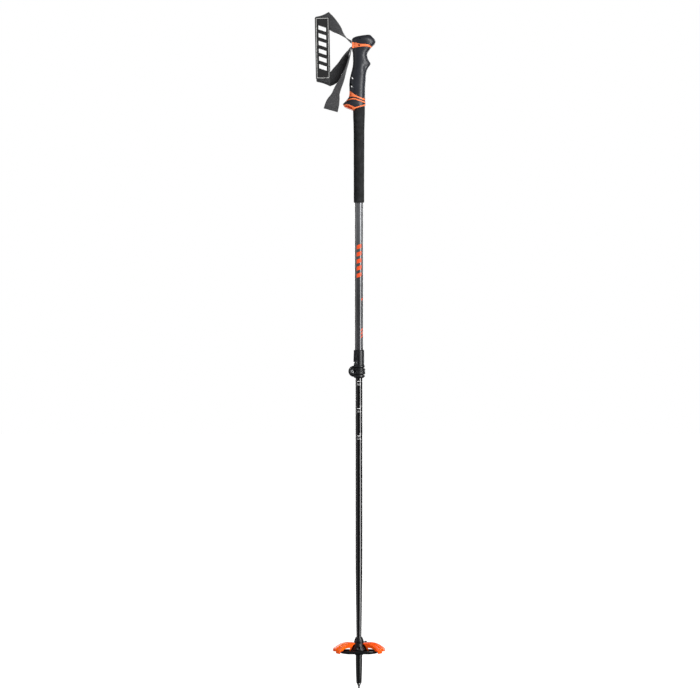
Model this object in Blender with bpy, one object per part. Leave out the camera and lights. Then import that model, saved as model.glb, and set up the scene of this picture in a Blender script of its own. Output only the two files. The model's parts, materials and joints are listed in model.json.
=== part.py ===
"""Adjustable touring ski pole, tip down, in metres with +Z up the shaft.

The tip touches the ground at the origin. The strap and the back of the grip point to -X,
and the clamp lever and the screw face -Y. Lengths below are in millimetres and are
turned into metres where a mesh is made.
"""

import math

import bpy
import numpy as np
from mathutils import Vector

MM = 0.001
GAP = 0.3
ROUND = 48
MID_ROUND = 32
SMALL_ROUND = 20

# Shaft
UPPER_R = 7.6
UPPER_BORE_R = 6.8
UPPER_BOTTOM_Z = 592.6
UPPER_TOP_Z = 1160.0
LOWER_R = 6.5
LOWER_BORE_R = 5.7
LOWER_END_R = 4.6
LOWER_BOTTOM_Z = 30.0
LOWER_TOP_Z = 880.0
TAPER_BOTTOM_Z = 95.0
TAPER_TOP_Z = 238.0

# Grip
CORE_R = 9.2
CORE_BORE_R = UPPER_R + GAP
SLICE_BORE_R = CORE_R + GAP
CORE_BOTTOM_Z = 1069.5
CORE_TOP_Z = 1170.0
POCKET_HALF_Y = 8.3
PIN_X = 0.4
PIN_Z = 1179.2

# Foam sleeve
FOAM_BOTTOM_Z = 890.9

# Clamp
CLAMP_Z = 581.5
PIVOT_X = -12.3
PIVOT_Y = -8.6
EAR_X = -9.1
EAR_R = 10.3

# Basket
BASKET_AXIS_Z = 75.0

# Strap
WEB_T = 1.5
WEB_WIDE = 25.0
WEB_NARROW = 15.0
PAD_T = 3.4
PAD_W = 26.6
STRAP_AXIS = (-14.3, 0.0, 1186.1)

# Linear colour, roughness, metallic, and the pieces that have them
LOOKS = {
    "grip_plastic": ((0.042, 0.045, 0.052), 0.55, 0.0,
                     ["grip_head", "grip_body", "grip_mid_stripe", "grip_skirt"]),
    "accent_orange": ((0.89, 0.25, 0.10), 0.5, 0.0,
                      ["strap_collar", "grip_band", "grip_low_stripe", "grip_rim"]),
    "foam": ((0.008, 0.008, 0.009), 0.95, 0.0, ["foam_sleeve"]),
    "inner_plastic": ((0.05, 0.05, 0.05), 0.6, 0.0,
                      ["grip_core", "shaft_top_plug", "lower_guide_bush", "clamp_liner"]),
    "grey_lacquer": ((0.08, 0.08, 0.082), 0.35, 0.6, ["upper_shaft"]),
    "black_lacquer": ((0.012, 0.012, 0.014), 0.22, 0.5, ["lower_shaft"]),
    "clamp_plastic": ((0.028, 0.028, 0.031), 0.5, 0.0, ["clamp_body", "clamp_lever", "strap_wedge"]),
    "bright_steel": ((0.6, 0.6, 0.6), 0.25, 1.0,
                     ["lever_pin", "strap_pin", "tension_screw", "tension_nut", "thrust_plate",
                      "tip_ferrule"]),
    "carbide": ((0.17, 0.17, 0.19), 0.4, 1.0, ["carbide_tip"]),
    "basket_orange": ((0.82, 0.1, 0.01), 0.45, 0.0, ["basket_wing_left", "basket_wing_right"]),
    "black_plastic": ((0.012, 0.012, 0.014), 0.35, 0.0,
                      ["basket_lock_cone", "basket_hub", "basket_plate", "basket_collar", "basket_knob",
                       "tip_sleeve"]),
    "strap_cloth": ((0.03, 0.03, 0.032), 0.9, 0.0,
                    ["strap_web_upper", "strap_web_lower", "strap_pad", "strap_pad_lining", "strap_tail",
                     "strap_tail_tab", "strap_end_upper", "strap_end_lower", "strap_end_tail"]),
}
SHARP_ANGLE = math.radians(35)

# Each moving group: its axis point, the group that carries it, and its pieces
MOVING_GROUPS = {
    "lower_section": ((0.0, 0.0, CLAMP_Z), None,
                      ["lower_shaft", "lower_guide_bush", "tip_sleeve", "tip_ferrule", "carbide_tip"]),
    "basket_axis": ((0.0, 0.0, BASKET_AXIS_Z), "lower_section",
                    ["basket_lock_cone", "basket_hub", "basket_plate", "basket_wing_left",
                     "basket_wing_right", "basket_collar", "basket_knob"]),
    "lever_axis": ((PIVOT_X, PIVOT_Y, CLAMP_Z), None, ["clamp_lever"]),
    "screw_axis": ((PIVOT_X, 0.0, CLAMP_Z), None, ["tension_screw"]),
    "strap_axis": (STRAP_AXIS, None,
                   ["strap_web_upper", "strap_web_lower", "strap_pad", "strap_pad_lining", "strap_tail",
                    "strap_tail_tab"]),
    "wedge_slide": ((-8.0, 0.0, 1180.0), None, ["strap_wedge"]),
}


def clear_scene():
    for item in list(bpy.data.objects):
        bpy.data.objects.remove(item, do_unlink=True)


def new_object(name, verts, faces, helper=False):
    mesh = bpy.data.meshes.new(name)
    mesh.from_pydata([tuple(c * MM for c in v) for v in verts], [], faces)
    mesh.validate()
    obj = bpy.data.objects.new(name, mesh)
    bpy.context.scene.collection.objects.link(obj)
    if helper:
        obj.hide_render = True
        obj.display_type = "WIRE"
    return obj


def signed_area(outline):
    total = 0.0
    for (x0, y0), (x1, y1) in zip(outline, outline[1:] + outline[:1]):
        total += x0 * y1 - x1 * y0
    return total / 2.0


def revolve(name, profile, steps=ROUND, centre=(0.0, 0.0), helper=False):
    """Turns a closed loop of (radius, z) about a vertical line. Radius 0 points lie on the line."""
    if signed_area(profile) < 0:
        profile = profile[::-1]
    verts = []
    rows = []
    for radius, z in profile:
        if radius == 0:
            rows.append([len(verts)] * steps)
            verts.append((centre[0], centre[1], z))
            continue
        rows.append(list(range(len(verts), len(verts) + steps)))
        for i in range(steps):
            turn = 2 * math.pi * i / steps
            verts.append((centre[0] + radius * math.cos(turn), centre[1] + radius * math.sin(turn), z))
    faces = []
    for low, high in zip(rows, rows[1:] + rows[:1]):
        for i in range(steps):
            j = (i + 1) % steps
            corner = [low[i], low[j], high[j], high[i]]
            face = [v for k, v in enumerate(corner) if v != corner[k - 1]]
            if len(face) > 2:
                faces.append(face)
    return new_object(name, verts, faces, helper)


def tube(name, outer, inner, bottom, top, steps=ROUND, centre=(0.0, 0.0), helper=False):
    profile = [(inner, bottom), (outer, bottom), (outer, top), (inner, top)]
    return revolve(name, profile, steps, centre, helper)


def rod(name, radius, bottom, top, steps=ROUND, centre=(0.0, 0.0), helper=False):
    profile = [(0, bottom), (radius, bottom), (radius, top), (0, top)]
    return revolve(name, profile, steps, centre, helper)


def box(name, low, high, helper=False):
    (x0, y0, z0), (x1, y1, z1) = low, high
    verts = [(x0, y0, z0), (x1, y0, z0), (x1, y1, z0), (x0, y1, z0),
             (x0, y0, z1), (x1, y0, z1), (x1, y1, z1), (x0, y1, z1)]
    faces = [(0, 3, 2, 1), (4, 5, 6, 7), (0, 1, 5, 4), (1, 2, 6, 5), (2, 3, 7, 6), (3, 0, 4, 7)]
    return new_object(name, verts, faces, helper)


def slab_y(name, outline, y0, y1, helper=False):
    """A prism along Y whose outline is a loop of (x, z)."""
    if signed_area(outline) < 0:
        outline = outline[::-1]
    y0, y1 = min(y0, y1), max(y0, y1)
    count = len(outline)
    verts = [(x, y0, z) for x, z in outline] + [(x, y1, z) for x, z in outline]
    faces = [tuple(range(count)), tuple(range(2 * count - 1, count - 1, -1))]
    for i in range(count):
        j = (i + 1) % count
        faces.append((j, i, count + i, count + j))
    return new_object(name, verts, faces, helper)


def slab_z(name, outline, z0, z1, helper=False):
    """A prism along Z whose outline is a loop of (x, y)."""
    if signed_area(outline) < 0:
        outline = outline[::-1]
    count = len(outline)
    verts = [(x, y, z0) for x, y in outline] + [(x, y, z1) for x, y in outline]
    faces = [tuple(range(count - 1, -1, -1)), tuple(range(count, 2 * count))]
    for i in range(count):
        j = (i + 1) % count
        faces.append((i, j, count + j, count + i))
    return new_object(name, verts, faces, helper)


def rod_y(name, x, z, radius, y0, y1, steps=SMALL_ROUND, helper=False):
    outline = []
    for i in range(steps):
        turn = 2 * math.pi * i / steps
        outline.append((x + radius * math.cos(turn), z + radius * math.sin(turn)))
    return slab_y(name, outline, y0, y1, helper)


def loft(name, rings, helper=False):
    """Joins rings of points, lowest first and each counter-clockwise from above, and caps both ends."""
    count = len(rings[0])
    verts = [point for ring in rings for point in ring]
    faces = [tuple(range(count - 1, -1, -1))]
    for r in range(len(rings) - 1):
        a = r * count
        b = a + count
        for i in range(count):
            j = (i + 1) % count
            faces.append((a + i, a + j, b + j, b + i))
    last = (len(rings) - 1) * count
    faces.append(tuple(range(last, last + count)))
    return new_object(name, verts, faces, helper)


def boolean(target, tool, operation):
    target.modifiers.new("triangles_before_" + tool.name, "TRIANGULATE")
    modifier = target.modifiers.new(operation.lower() + "_" + tool.name, "BOOLEAN")
    modifier.operation = operation
    modifier.solver = "EXACT"
    modifier.object = tool
    tool.hide_render = True
    tool.display_type = "WIRE"


def cut(target, *tools):
    for tool in tools:
        boolean(target, tool, "DIFFERENCE")


def join(target, *tools):
    for tool in tools:
        boolean(target, tool, "UNION")


def keep(target, tool):
    boolean(target, tool, "INTERSECT")


# ---------------------------------------------------------------- grip

# z, back x, front x, half width along Y
GRIP_SECTIONS = [
    (1059.0, -10.6, 11.6, 10.8),
    (1060.4, -12.6, 11.8, 12.0),
    (1063.2, -19.6, 12.1, 13.4),
    (1065.8, -25.8, 12.2, 14.6),
    (1069.0, -28.8, 12.1, 15.6),
    (1072.0, -29.4, 12.0, 15.8),
    (1074.5, -27.4, 11.9, 15.4),
    (1078.0, -23.8, 11.7, 14.9),
    (1082.0, -20.9, 11.5, 14.4),
    (1086.0, -18.7, 11.3, 14.1),
    (1092.0, -17.8, 11.3, 13.9),
    (1100.0, -17.8, 11.4, 13.8),
    (1108.0, -18.1, 11.8, 13.8),
    (1116.0, -17.4, 12.4, 13.8),
    (1124.5, -15.7, 12.9, 13.6),
    (1131.8, -13.8, 14.1, 13.4),
    (1137.8, -12.4, 16.5, 13.2),
    (1142.7, -11.5, 20.0, 13.0),
    (1146.1, -11.1, 21.4, 12.9),
    (1149.4, -11.0, 19.7, 12.8),
    (1154.8, -11.1, 16.6, 12.6),
    (1160.9, -11.3, 15.1, 12.4),
    (1165.8, -11.5, 15.9, 12.4),
    (1170.6, -11.9, 18.9, 12.7),
    (1174.5, -12.2, 22.0, 13.2),
    (1178.5, -12.6, 25.6, 13.8),
    (1182.3, -12.9, 29.2, 14.3),
    (1186.6, -13.1, 30.4, 14.6),
    (1190.4, -13.1, 28.9, 14.3),
    (1192.6, -11.9, 27.2, 13.5),
    (1194.5, -9.2, 25.2, 12.4),
    (1196.2, -4.2, 23.7, 10.8),
    (1197.5, 2.6, 22.4, 8.6),
    (1198.6, 9.8, 21.0, 5.8),
    (1199.2, 15.4, 19.6, 2.6),
]

COLLAR_TOP = [(-16, 1185.1), (-11.7, 1184.8), (-6.6, 1184.1), (0.4, 1182.0), (3.9, 1181.4), (10.2, 1181.3),
              (17.2, 1180.8), (21.4, 1179.2), (24.2, 1177.6), (33, 1171.5)]
COLLAR_BOTTOM = [(-16, 1173.4), (-10.5, 1174.3), (-6.6, 1175.0), (0.4, 1176.2), (5.6, 1176.9), (10.9, 1177.0),
                 (16.1, 1176.5), (19.2, 1175.7), (21.4, 1174.5), (25, 1171.8), (33, 1165.6)]
BAND_TOP = [(-34, 1099.5), (-17.8, 1095.9), (-14.8, 1094.6), (-9.4, 1089.9), (-6, 1087.6), (0, 1084.6),
            (6, 1082.7), (11.7, 1081.4), (16, 1080.6)]
BAND_BOTTOM = [(-34, 1084.2), (-18.8, 1084.7), (-12.1, 1085.0), (-6, 1084.0), (0, 1081.9), (6, 1079.8),
               (11.7, 1078.4), (16, 1077.6)]
STRIPE_TOP = [(-34, 1070.6), (-25.3, 1077.0), (-20.1, 1080.3), (-12.1, 1082.4), (-6, 1081.6), (0, 1079.4),
              (6, 1077.4), (11.7, 1075.9), (16, 1075.1)]
STRIPE_BOTTOM = [(-34, 1068.9), (-25.9, 1075.4), (-20.1, 1078.3), (-12.1, 1079.9), (-6, 1079.2), (0, 1077.0),
                 (6, 1074.9), (11.7, 1073.5), (16, 1072.7)]
RIM_TOP = [(-34, 1069.6), (-28.5, 1070.4), (-22.8, 1071.3), (-17.4, 1070.1), (-12, 1067.4), (-7.8, 1065.4),
           (-2, 1066.7), (5, 1069.0), (11.7, 1071.2), (16, 1072.3)]
RIM_BOTTOM = [(-34, 1050.0), (-10.8, 1050.0), (-10.7, 1059.6), (-10.0, 1060.8), (-6, 1063.2), (0, 1065.4),
              (5, 1067.0), (11.7, 1069.0), (16, 1070.0)]
LOOP_STEPS = 36


def grip_ring(z, back, front, half_width):
    centre = (back + front) / 2.0
    half_depth = (front - back) / 2.0
    points = []
    for i in range(LOOP_STEPS):
        turn = 2 * math.pi * i / LOOP_STEPS
        c = math.cos(turn)
        s = math.sin(turn)
        x = centre + half_depth * math.copysign(abs(c) ** 0.88, c)
        y = half_width * math.copysign(abs(s) ** 0.88, s)
        points.append((x, y, z))
    return points


def between(lower, upper, trim):
    """The loop between two side-view lines, each drawn in by trim."""
    low = [(x, z + trim) for x, z in lower]
    high = [(x, z - trim) for x, z in upper]
    return low + high[::-1]


def grip_slice(name, lower, upper, bore=True):
    """One layer of the grip: the whole outside form kept only between two side-view lines."""
    piece = loft(name, [grip_ring(*section) for section in GRIP_SECTIONS])
    slab = slab_y("cut_slab_" + name, between(lower, upper, GAP / 2), -20, 20, True)
    keep(piece, slab)
    if bore:
        hole = rod("cut_bore_" + name, SLICE_BORE_R, 1040, CORE_TOP_Z + GAP, MID_ROUND, helper=True)
        cut(piece, hole)
    return piece


def slanted_slot(name, x, z, length, width):
    """A see-through slot along Y that leans back at the top."""
    lean = math.radians(24)
    outline = []
    for i in range(20):
        turn = 2 * math.pi * i / 20
        along = length / 2 * math.sin(turn)
        across = width / 2 * math.cos(turn)
        outline.append((x - along * math.sin(lean) + across * math.cos(lean),
                        z + along * math.cos(lean) + across * math.sin(lean)))
    return slab_y(name, outline, -20, 20, True)


def build_grip():
    above = [(-34, 1215.0), (33, 1215.0)]
    head = grip_slice("grip_head", COLLAR_TOP, above, bore=False)
    collar = grip_slice("strap_collar", COLLAR_BOTTOM, COLLAR_TOP, bore=False)
    body = grip_slice("grip_body", BAND_TOP, COLLAR_BOTTOM)
    band = grip_slice("grip_band", BAND_BOTTOM, BAND_TOP)
    grip_slice("grip_mid_stripe", STRIPE_TOP, BAND_BOTTOM)
    grip_slice("grip_low_stripe", STRIPE_BOTTOM, STRIPE_TOP)
    grip_slice("grip_skirt", RIM_TOP, STRIPE_BOTTOM)
    rim = grip_slice("grip_rim", RIM_BOTTOM, RIM_TOP)

    pocket = box("cut_strap_pocket", (-20, -POCKET_HALF_Y, 1172.9), (-2.8, POCKET_HALF_Y, 1187.4), True)
    cut(head, pocket)
    cut(collar, pocket)
    cut(body, pocket)
    cut(collar, rod_y("cut_pin_bore", PIN_X, PIN_Z, 1.75, -20, 20, helper=True))
    for side in (-1, 1):
        dimple = rod_y(f"cut_head_dimple_{side}", 1.4, 1191.8, 1.3, side * 11.0, side * 20, 16, True)
        cut(head, dimple)
        mark = slab_y(f"cut_band_mark_{side}", [(-16.6, 1090.9), (-12.6, 1087.7), (-16.2, 1087.2)],
                      side * 7.0, side * 20, True)
        cut(band, mark)
        hollow = rim_hollow(f"cut_rim_hollow_{side}", side)
        cut(rim, hollow)
    cut(body, slanted_slot("cut_slot_upper", -12.9, 1121.8, 9.8, 2.8))
    cut(body, slanted_slot("cut_slot_lower", -14.2, 1106.4, 8.6, 2.8))

    tube("grip_core", CORE_R, CORE_BORE_R, CORE_BOTTOM_Z, CORE_TOP_Z, MID_ROUND)
    rod_y("strap_pin", PIN_X, PIN_Z, 1.45, -9.0, 9.0)
    wedge_outline = [(-12.9, 1177.5), (-11.6, 1177.2), (-3.4, 1177.3), (-3.1, 1179.7), (-3.4, 1182.2),
                     (-11.0, 1182.8), (-12.9, 1183.0)]
    slab_y("strap_wedge", wedge_outline, -7.9, 7.9)


def rim_hollow(name, side):
    """The long hollow in each flank of the rim's rear lip."""
    lean = math.radians(-21)
    outline = []
    for i in range(24):
        turn = 2 * math.pi * i / 24
        along = 6.9 * math.cos(turn)
        across = 1.9 * math.sin(turn)
        outline.append((-18.3 + along * math.cos(lean) - across * math.sin(lean),
                        1065.7 + along * math.sin(lean) + across * math.cos(lean)))
    return slab_y(name, outline, side * 3.0, side * 20, True)


def build_foam():
    profile = [(CORE_BORE_R, FOAM_BOTTOM_Z), (8.9, FOAM_BOTTOM_Z), (9.4, FOAM_BOTTOM_Z + 0.8),
               (9.6, FOAM_BOTTOM_Z + 2.4), (9.7, 960), (9.9, 1020), (10.2, 1034), (10.7, 1048), (11.0, 1060),
               (11.1, 1080), (CORE_BORE_R, 1080)]
    foam = revolve("foam_sleeve", profile, MID_ROUND)
    line = [(-34, 1058.8), (-10.3, 1058.8), (-9.7, 1060.2), (-6, 1062.6), (0, 1064.8), (5, 1066.4),
            (11.7, 1068.4), (16, 1069.4), (16, 1100), (-34, 1100)]
    cut(foam, slab_y("cut_foam_top", line, -20, 20, True))


# ---------------------------------------------------------------- shaft

def build_shaft():
    tube("upper_shaft", UPPER_R, UPPER_BORE_R, UPPER_BOTTOM_Z, UPPER_TOP_Z)
    plug = [(0, 1146.0), (6.5, 1146.0), (6.5, 1160.3), (7.5, 1160.3), (7.5, 1163.2), (5.9, 1164.4),
            (0, 1164.4)]
    revolve("shaft_top_plug", plug, MID_ROUND)
    lower = [(LOWER_END_R - 0.8, LOWER_BOTTOM_Z), (LOWER_END_R, LOWER_BOTTOM_Z),
             (LOWER_END_R, TAPER_BOTTOM_Z), (5.75, 165.0), (LOWER_R, TAPER_TOP_Z),
             (LOWER_R, LOWER_TOP_Z), (LOWER_BORE_R, LOWER_TOP_Z), (LOWER_BORE_R, TAPER_TOP_Z),
             (4.95, 165.0), (LOWER_END_R - 0.8, TAPER_BOTTOM_Z)]
    revolve("lower_shaft", lower)
    bush = [(0, 862.0), (5.4, 862.0), (5.4, 880.3), (6.6, 880.3), (6.6, 893.0), (5.9, 894.2), (0, 894.2)]
    revolve("lower_guide_bush", bush, MID_ROUND)


# ---------------------------------------------------------------- clamp

def build_clamp_body():
    profile = [(0, 569.2), (8.4, 569.2), (9.1, 570.1), (9.3, 571.1), (10.6, 571.1), (10.9, 571.9),
               (10.9, 574.0), (10.5, 574.7), (8.8, 575.1), (8.8, 588.0), (10.3, 588.6), (10.8, 589.6),
               (10.8, 591.5), (10.2, 592.5), (9.5, 592.9), (9.65, 593.4), (9.65, 620.1), (9.1, 620.9),
               (0, 620.9)]
    body = revolve("clamp_body", profile, MID_ROUND)
    ears = rod_y("cut_ears", EAR_X, CLAMP_Z, EAR_R, -3.3, 3.3, 40, True)
    flank = [(-9.3, 592.2), (-10.2, 599.0), (-9.5, 620.2), (-1.0, 620.2), (-1.0, 592.2)]
    block = slab_y("cut_flat_block", flank, -8.9, 8.9, True)
    bore = rod("cut_clamp_bore", CORE_BORE_R, 570.2, 640, MID_ROUND, helper=True)
    lip_bore = rod("cut_lip_bore", 6.95, 560, 571, MID_ROUND, helper=True)
    join(body, ears, block)
    cut(body, bore, lip_bore)
    for side in (-1, 1):
        low = min(side * 8.7, side * 13)
        high = max(side * 8.7, side * 13)
        cut(body, box(f"cut_facet_{side}", (-13, low, 592.6), (-0.4, high, 625), True))
    slit = box("cut_slit", (-25, -0.7, 565), (-5, 0.7, 598.0), True)
    relief = box("cut_relief", (-14, -14, 595.9), (-8.2, 14, 598.8), True)
    cut(body, slit, relief)
    cut(body, rod_y("cut_screw_bore", PIVOT_X, CLAMP_Z, 1.8, -20, 20, helper=True))
    seat = box("cut_seat", (-19, 2.9, CLAMP_Z - 3.2), (-9.0, 9, CLAMP_Z + 3.2), True)
    cut(body, seat)
    return body


def build_clamp():
    build_clamp_body()
    liner = tube("clamp_liner", 7.6, 6.65, 570.5, 592.2, MID_ROUND)
    cut(liner, box("cut_liner_slit", (-12, -0.9, 560), (0, 0.9, 600), True))
    build_lever()
    pin = rod("lever_pin", 2.6, CLAMP_Z - 5.4, CLAMP_Z + 5.4, SMALL_ROUND, (PIVOT_X, PIVOT_Y))
    cut(pin, rod_y("cut_pin_cross", PIVOT_X, CLAMP_Z, 1.8, -20, 0, helper=True))
    build_screw()
    plate = box("thrust_plate", (PIVOT_X - 3.6, -4.2, CLAMP_Z - 5.4), (PIVOT_X + 3.4, -3.6, CLAMP_Z + 5.4))
    cut(plate, rod_y("cut_plate_bore", PIVOT_X, CLAMP_Z, 1.8, -6, 0, helper=True))


def build_lever():
    """A fork on the upright pin that becomes one arm round the front of the clamp."""
    low = CLAMP_Z - 5.8
    high = CLAMP_Z + 5.8
    arm = []
    for degrees in range(214, 357, 6):
        turn = math.radians(degrees)
        arm.append((11.7 * math.cos(turn), 11.7 * math.sin(turn)))
    inner = []
    for degrees in range(352, 213, -6):
        turn = math.radians(degrees)
        inner.append((9.2 * math.cos(turn), 9.2 * math.sin(turn)))
    lever = slab_z("clamp_lever", arm + inner, low, high)
    hub_outline = []
    for i in range(SMALL_ROUND):
        turn = 2 * math.pi * i / SMALL_ROUND
        hub_outline.append((PIVOT_X + 4.0 * math.cos(turn), PIVOT_Y + 4.0 * math.sin(turn)))
    hub = slab_z("cut_lever_hub", hub_outline, low, high, True)
    link = slab_z("cut_lever_link", [(PIVOT_X, PIVOT_Y - 4.0), (-4.0, -11.3), (-2.5, -9.6), (-6.6, -6.55),
                                     (-9.3, -5.2), (PIVOT_X, PIVOT_Y + 3.0)], low, high, True)
    join(lever, hub, link)
    fork = box("cut_lever_fork", (-25, -16, CLAMP_Z - 2.8), (-5.2, 0, CLAMP_Z + 2.8), True)
    groove = slab_y("cut_lever_groove", [(-6, CLAMP_Z - 2.8), (-3.0, CLAMP_Z - 2.6), (0.6, CLAMP_Z - 1.2),
                                         (1.6, CLAMP_Z), (0.6, CLAMP_Z + 1.2), (-3.0, CLAMP_Z + 2.6),
                                         (-6, CLAMP_Z + 2.8)], -16, -10.7, True)
    eye = rod("cut_lever_eye", 2.9, low - 2, high + 2, SMALL_ROUND, (PIVOT_X, PIVOT_Y), True)
    cut(lever, fork, groove, eye)


def build_screw():
    screw = rod_y("tension_screw", PIVOT_X, CLAMP_Z, 2.45, -13.4, -11.5)
    join(screw, rod_y("cut_screw_shank", PIVOT_X, CLAMP_Z, 1.5, -12.0, 6.9, helper=True))
    for name, half_x, half_z in (("cut_cross_up", 0.35, 1.8), ("cut_cross_side", 1.8, 0.35)):
        low = (PIVOT_X - half_x, -15, CLAMP_Z - half_z)
        high = (PIVOT_X + half_x, -12.4, CLAMP_Z + half_z)
        cut(screw, box(name, low, high, True))
    corners = []
    for i in range(6):
        turn = math.radians(60 * i + 30)
        corners.append((PIVOT_X + 3.2 * math.cos(turn), CLAMP_Z + 3.2 * math.sin(turn)))
    nut = slab_y("tension_nut", corners, 3.2, 6.0)
    cut(nut, rod_y("cut_nut_bore", PIVOT_X, CLAMP_Z, 1.8, 0, 9, helper=True))


# ---------------------------------------------------------------- basket and tip

def sector(name, profile, start, end, steps, helper=False):
    """Sweeps a closed loop of (radius, z) about the shaft from one bearing to another, in degrees."""
    if signed_area(profile) < 0:
        profile = profile[::-1]
    count = len(profile)
    verts = []
    for i in range(steps + 1):
        turn = math.radians(start + (end - start) * i / steps)
        for radius, z in profile:
            verts.append((radius * math.cos(turn), radius * math.sin(turn), z))
    faces = [tuple(range(count)), tuple(range(steps * count + count - 1, steps * count - 1, -1))]
    for i in range(steps):
        a = i * count
        b = a + count
        for k in range(count):
            m = (k + 1) % count
            faces.append((a + m, a + k, b + k, b + m))
    return new_object(name, verts, faces, helper)


WING_TOP = [(9.4, 83.9), (14, 84.1), (20, 84.1), (29, 83.1), (35, 81.9), (40, 80.0), (44, 77.0), (46.6, 73.6),
            (48.0, 68.2)]
WING_RIM = [9.4, 14, 20, 26, 32, 37, 41, 44, 46.5, 48]


def wing_height(radius):
    return float(np.interp(radius, [r for r, _ in WING_TOP], [z for _, z in WING_TOP]))


def wing_reach(bearing):
    """How far out the rim goes at this bearing from the wing's middle, and how far it hangs lower there."""
    away = abs(bearing)
    if away < 19:
        return 48.3, 0.0
    if away < 27:
        return 43.0, 0.9
    return 47.6, 2.7


def wing_shell(name, middle):
    bearings = [-42, -37, -32, -27.2, -26.8, -19.2, -18.8, -12, -4, 4,
                12, 18.8, 19.2, 26.8, 27.2, 32, 37, 42]
    rows = len(WING_RIM)
    verts = []
    for lower in (0, 1):
        for bearing in bearings:
            reach, hang = wing_reach(bearing)
            turn = math.radians(middle + bearing)
            for radius in WING_RIM:
                share = (radius - WING_RIM[0]) / (WING_RIM[-1] - WING_RIM[0])
                real = WING_RIM[0] + share * (reach - WING_RIM[0])
                z = wing_height(min(real, 48.0)) - hang * share - 1.6 * (bearing / 42) ** 2
                z -= lower * (2.4 - 0.8 * share)
                verts.append((real * math.cos(turn), real * math.sin(turn), z))
    columns = len(bearings)
    half = columns * rows
    faces = []
    for c in range(columns - 1):
        for r in range(rows - 1):
            a = c * rows + r
            b = a + rows
            faces.append((a, a + 1, b + 1, b))
            faces.append((half + a, half + b, half + b + 1, half + a + 1))
    for c in range(columns - 1):
        a = c * rows
        b = a + rows
        faces.append((a, b, half + b, half + a))
        e = a + rows - 1
        f = b + rows - 1
        faces.append((f, e, half + e, half + f))
    for r in range(rows - 1):
        faces.append((r + 1, r, half + r, half + r + 1))
        g = (columns - 1) * rows + r
        faces.append((g, g + 1, half + g + 1, half + g))
    return new_object(name, verts, faces)


def build_wing(name, middle):
    wing = wing_shell(name, middle)
    rib = [(12.4, 82.2), (15.8, 77.4), (19.6, 74.7), (28.2, 74.6), (33.2, 73.4), (37.2, 72.2), (38.4, 69.8),
           (45.4, 69.8), (45.4, 65.6), (46.9, 65.6), (46.4, 71.0), (42.8, 76.2), (38, 78.9), (30, 81.0),
           (20, 82.2)]
    leg = [(9.5, 82.6), (9.5, 81.0), (11.9, 76.8), (15.4, 70.0), (18.5, 70.0), (15.0, 74.7), (13.9, 78.0),
           (15.2, 82.3)]
    way = 1 if middle == 0 else -1
    join(wing, sector("cut_rib_a_" + name, rib, middle - 41.6, middle - 37.6, 2, True))
    join(wing, sector("cut_rib_b_" + name, rib, middle + 37.6, middle + 41.6, 2, True))
    join(wing, slab_y("cut_leg_" + name, [(way * x, z) for x, z in leg], -10.4, 10.4, True))
    return wing


# z, half length along X, half width along Y
PLATE_RINGS = [(63.2, 24.5, 19.0), (64.2, 29.6, 23.4), (65.4, 32.8, 26.0), (66.6, 34.2, 27.2),
               (69.4, 34.4, 27.4)]


def plate_ring(z, half_x, half_y):
    points = []
    for i in range(MID_ROUND):
        turn = 2 * math.pi * i / MID_ROUND
        c = math.cos(turn)
        s = math.sin(turn)
        x = half_x * math.copysign(abs(c) ** 0.62, c)
        y = half_y * math.copysign(abs(s) ** 0.62, s)
        points.append((x, y, z))
    return points


def build_basket():
    cone = [(4.95, 84.6), (9.1, 84.6), (9.3, 85.3), (6.7, 93.0), (6.1, 93.9), (4.95, 93.9)]
    revolve("basket_lock_cone", cone, MID_ROUND)
    hub = [(6.25, 63.3), (8.0, 63.3), (8.0, 69.9), (14.9, 69.9), (14.9, 70.9), (11.6, 76.4), (8.8, 81.0),
           (8.9, 84.3), (6.25, 84.3)]
    hub_obj = revolve("basket_hub", hub, MID_ROUND)
    cut(hub_obj, box("cut_hub_window", (-4.3, -20, 71.6), (2.2, -10.2, 76.6), True))
    build_wing("basket_wing_left", 180)
    build_wing("basket_wing_right", 0)
    plate = loft("basket_plate", [plate_ring(*row) for row in PLATE_RINGS])
    tray = loft("cut_plate_tray", [plate_ring(66.4, 31.0, 24.2), plate_ring(75.0, 32.0, 25.2)], True)
    cut(plate, tray)
    cut(plate, rod("cut_plate_bore", 8.3, 60, 75, MID_ROUND, helper=True))
    for bearing in (45, 135, 225, 315):
        loop = [(13.5, 60), (24.5, 60), (24.5, 75), (13.5, 75)]
        cut(plate, sector(f"cut_plate_hole_{bearing}", loop, bearing - 26, bearing + 26, 8, True))
    revolve("basket_collar", [(6.25, 61.1), (7.6, 61.1), (7.9, 61.6), (7.9, 62.9), (6.25, 62.9)], MID_ROUND)
    knob = rod("basket_knob", 2.4, 84.9, 87.0, SMALL_ROUND, (12.0, 6.5))
    join(knob, rod("cut_knob_foot", 1.6, 83.2, 85.5, SMALL_ROUND, (12.0, 6.5), True))
    well = rod("cut_knob_well", 2.0, 82.9, 90, SMALL_ROUND, (12.0, 6.5), True)
    cut(bpy.data.objects["basket_wing_right"], well)


def build_tip():
    sleeve = [(4.9, 29.7), (4.9, 84.2), (5.95, 84.2), (5.95, 55.0), (5.85, 40.0), (5.5, 26.0), (4.9, 9.9),
              (4.2, 8.9), (2.6, 8.9), (2.6, 20.0), (0, 20.0), (0, 29.7)]
    revolve("tip_sleeve", sleeve, MID_ROUND)
    ferrule = [(0, 8.6), (4.0, 8.6), (3.9, 7.4), (3.5, 7.2), (1.9, 3.9), (1.7, 3.7), (0, 3.7)]
    obj = revolve("tip_ferrule", ferrule, MID_ROUND)
    join(obj, rod("cut_ferrule_stem", 2.3, 8.0, 19.7, SMALL_ROUND, helper=True))
    bit = [(0, 0), (1.75, 0), (2.0, 0.5), (1.7, 3.4), (0, 3.4)]
    revolve("carbide_tip", bit, SMALL_ROUND)


# ---------------------------------------------------------------- strap

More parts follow.
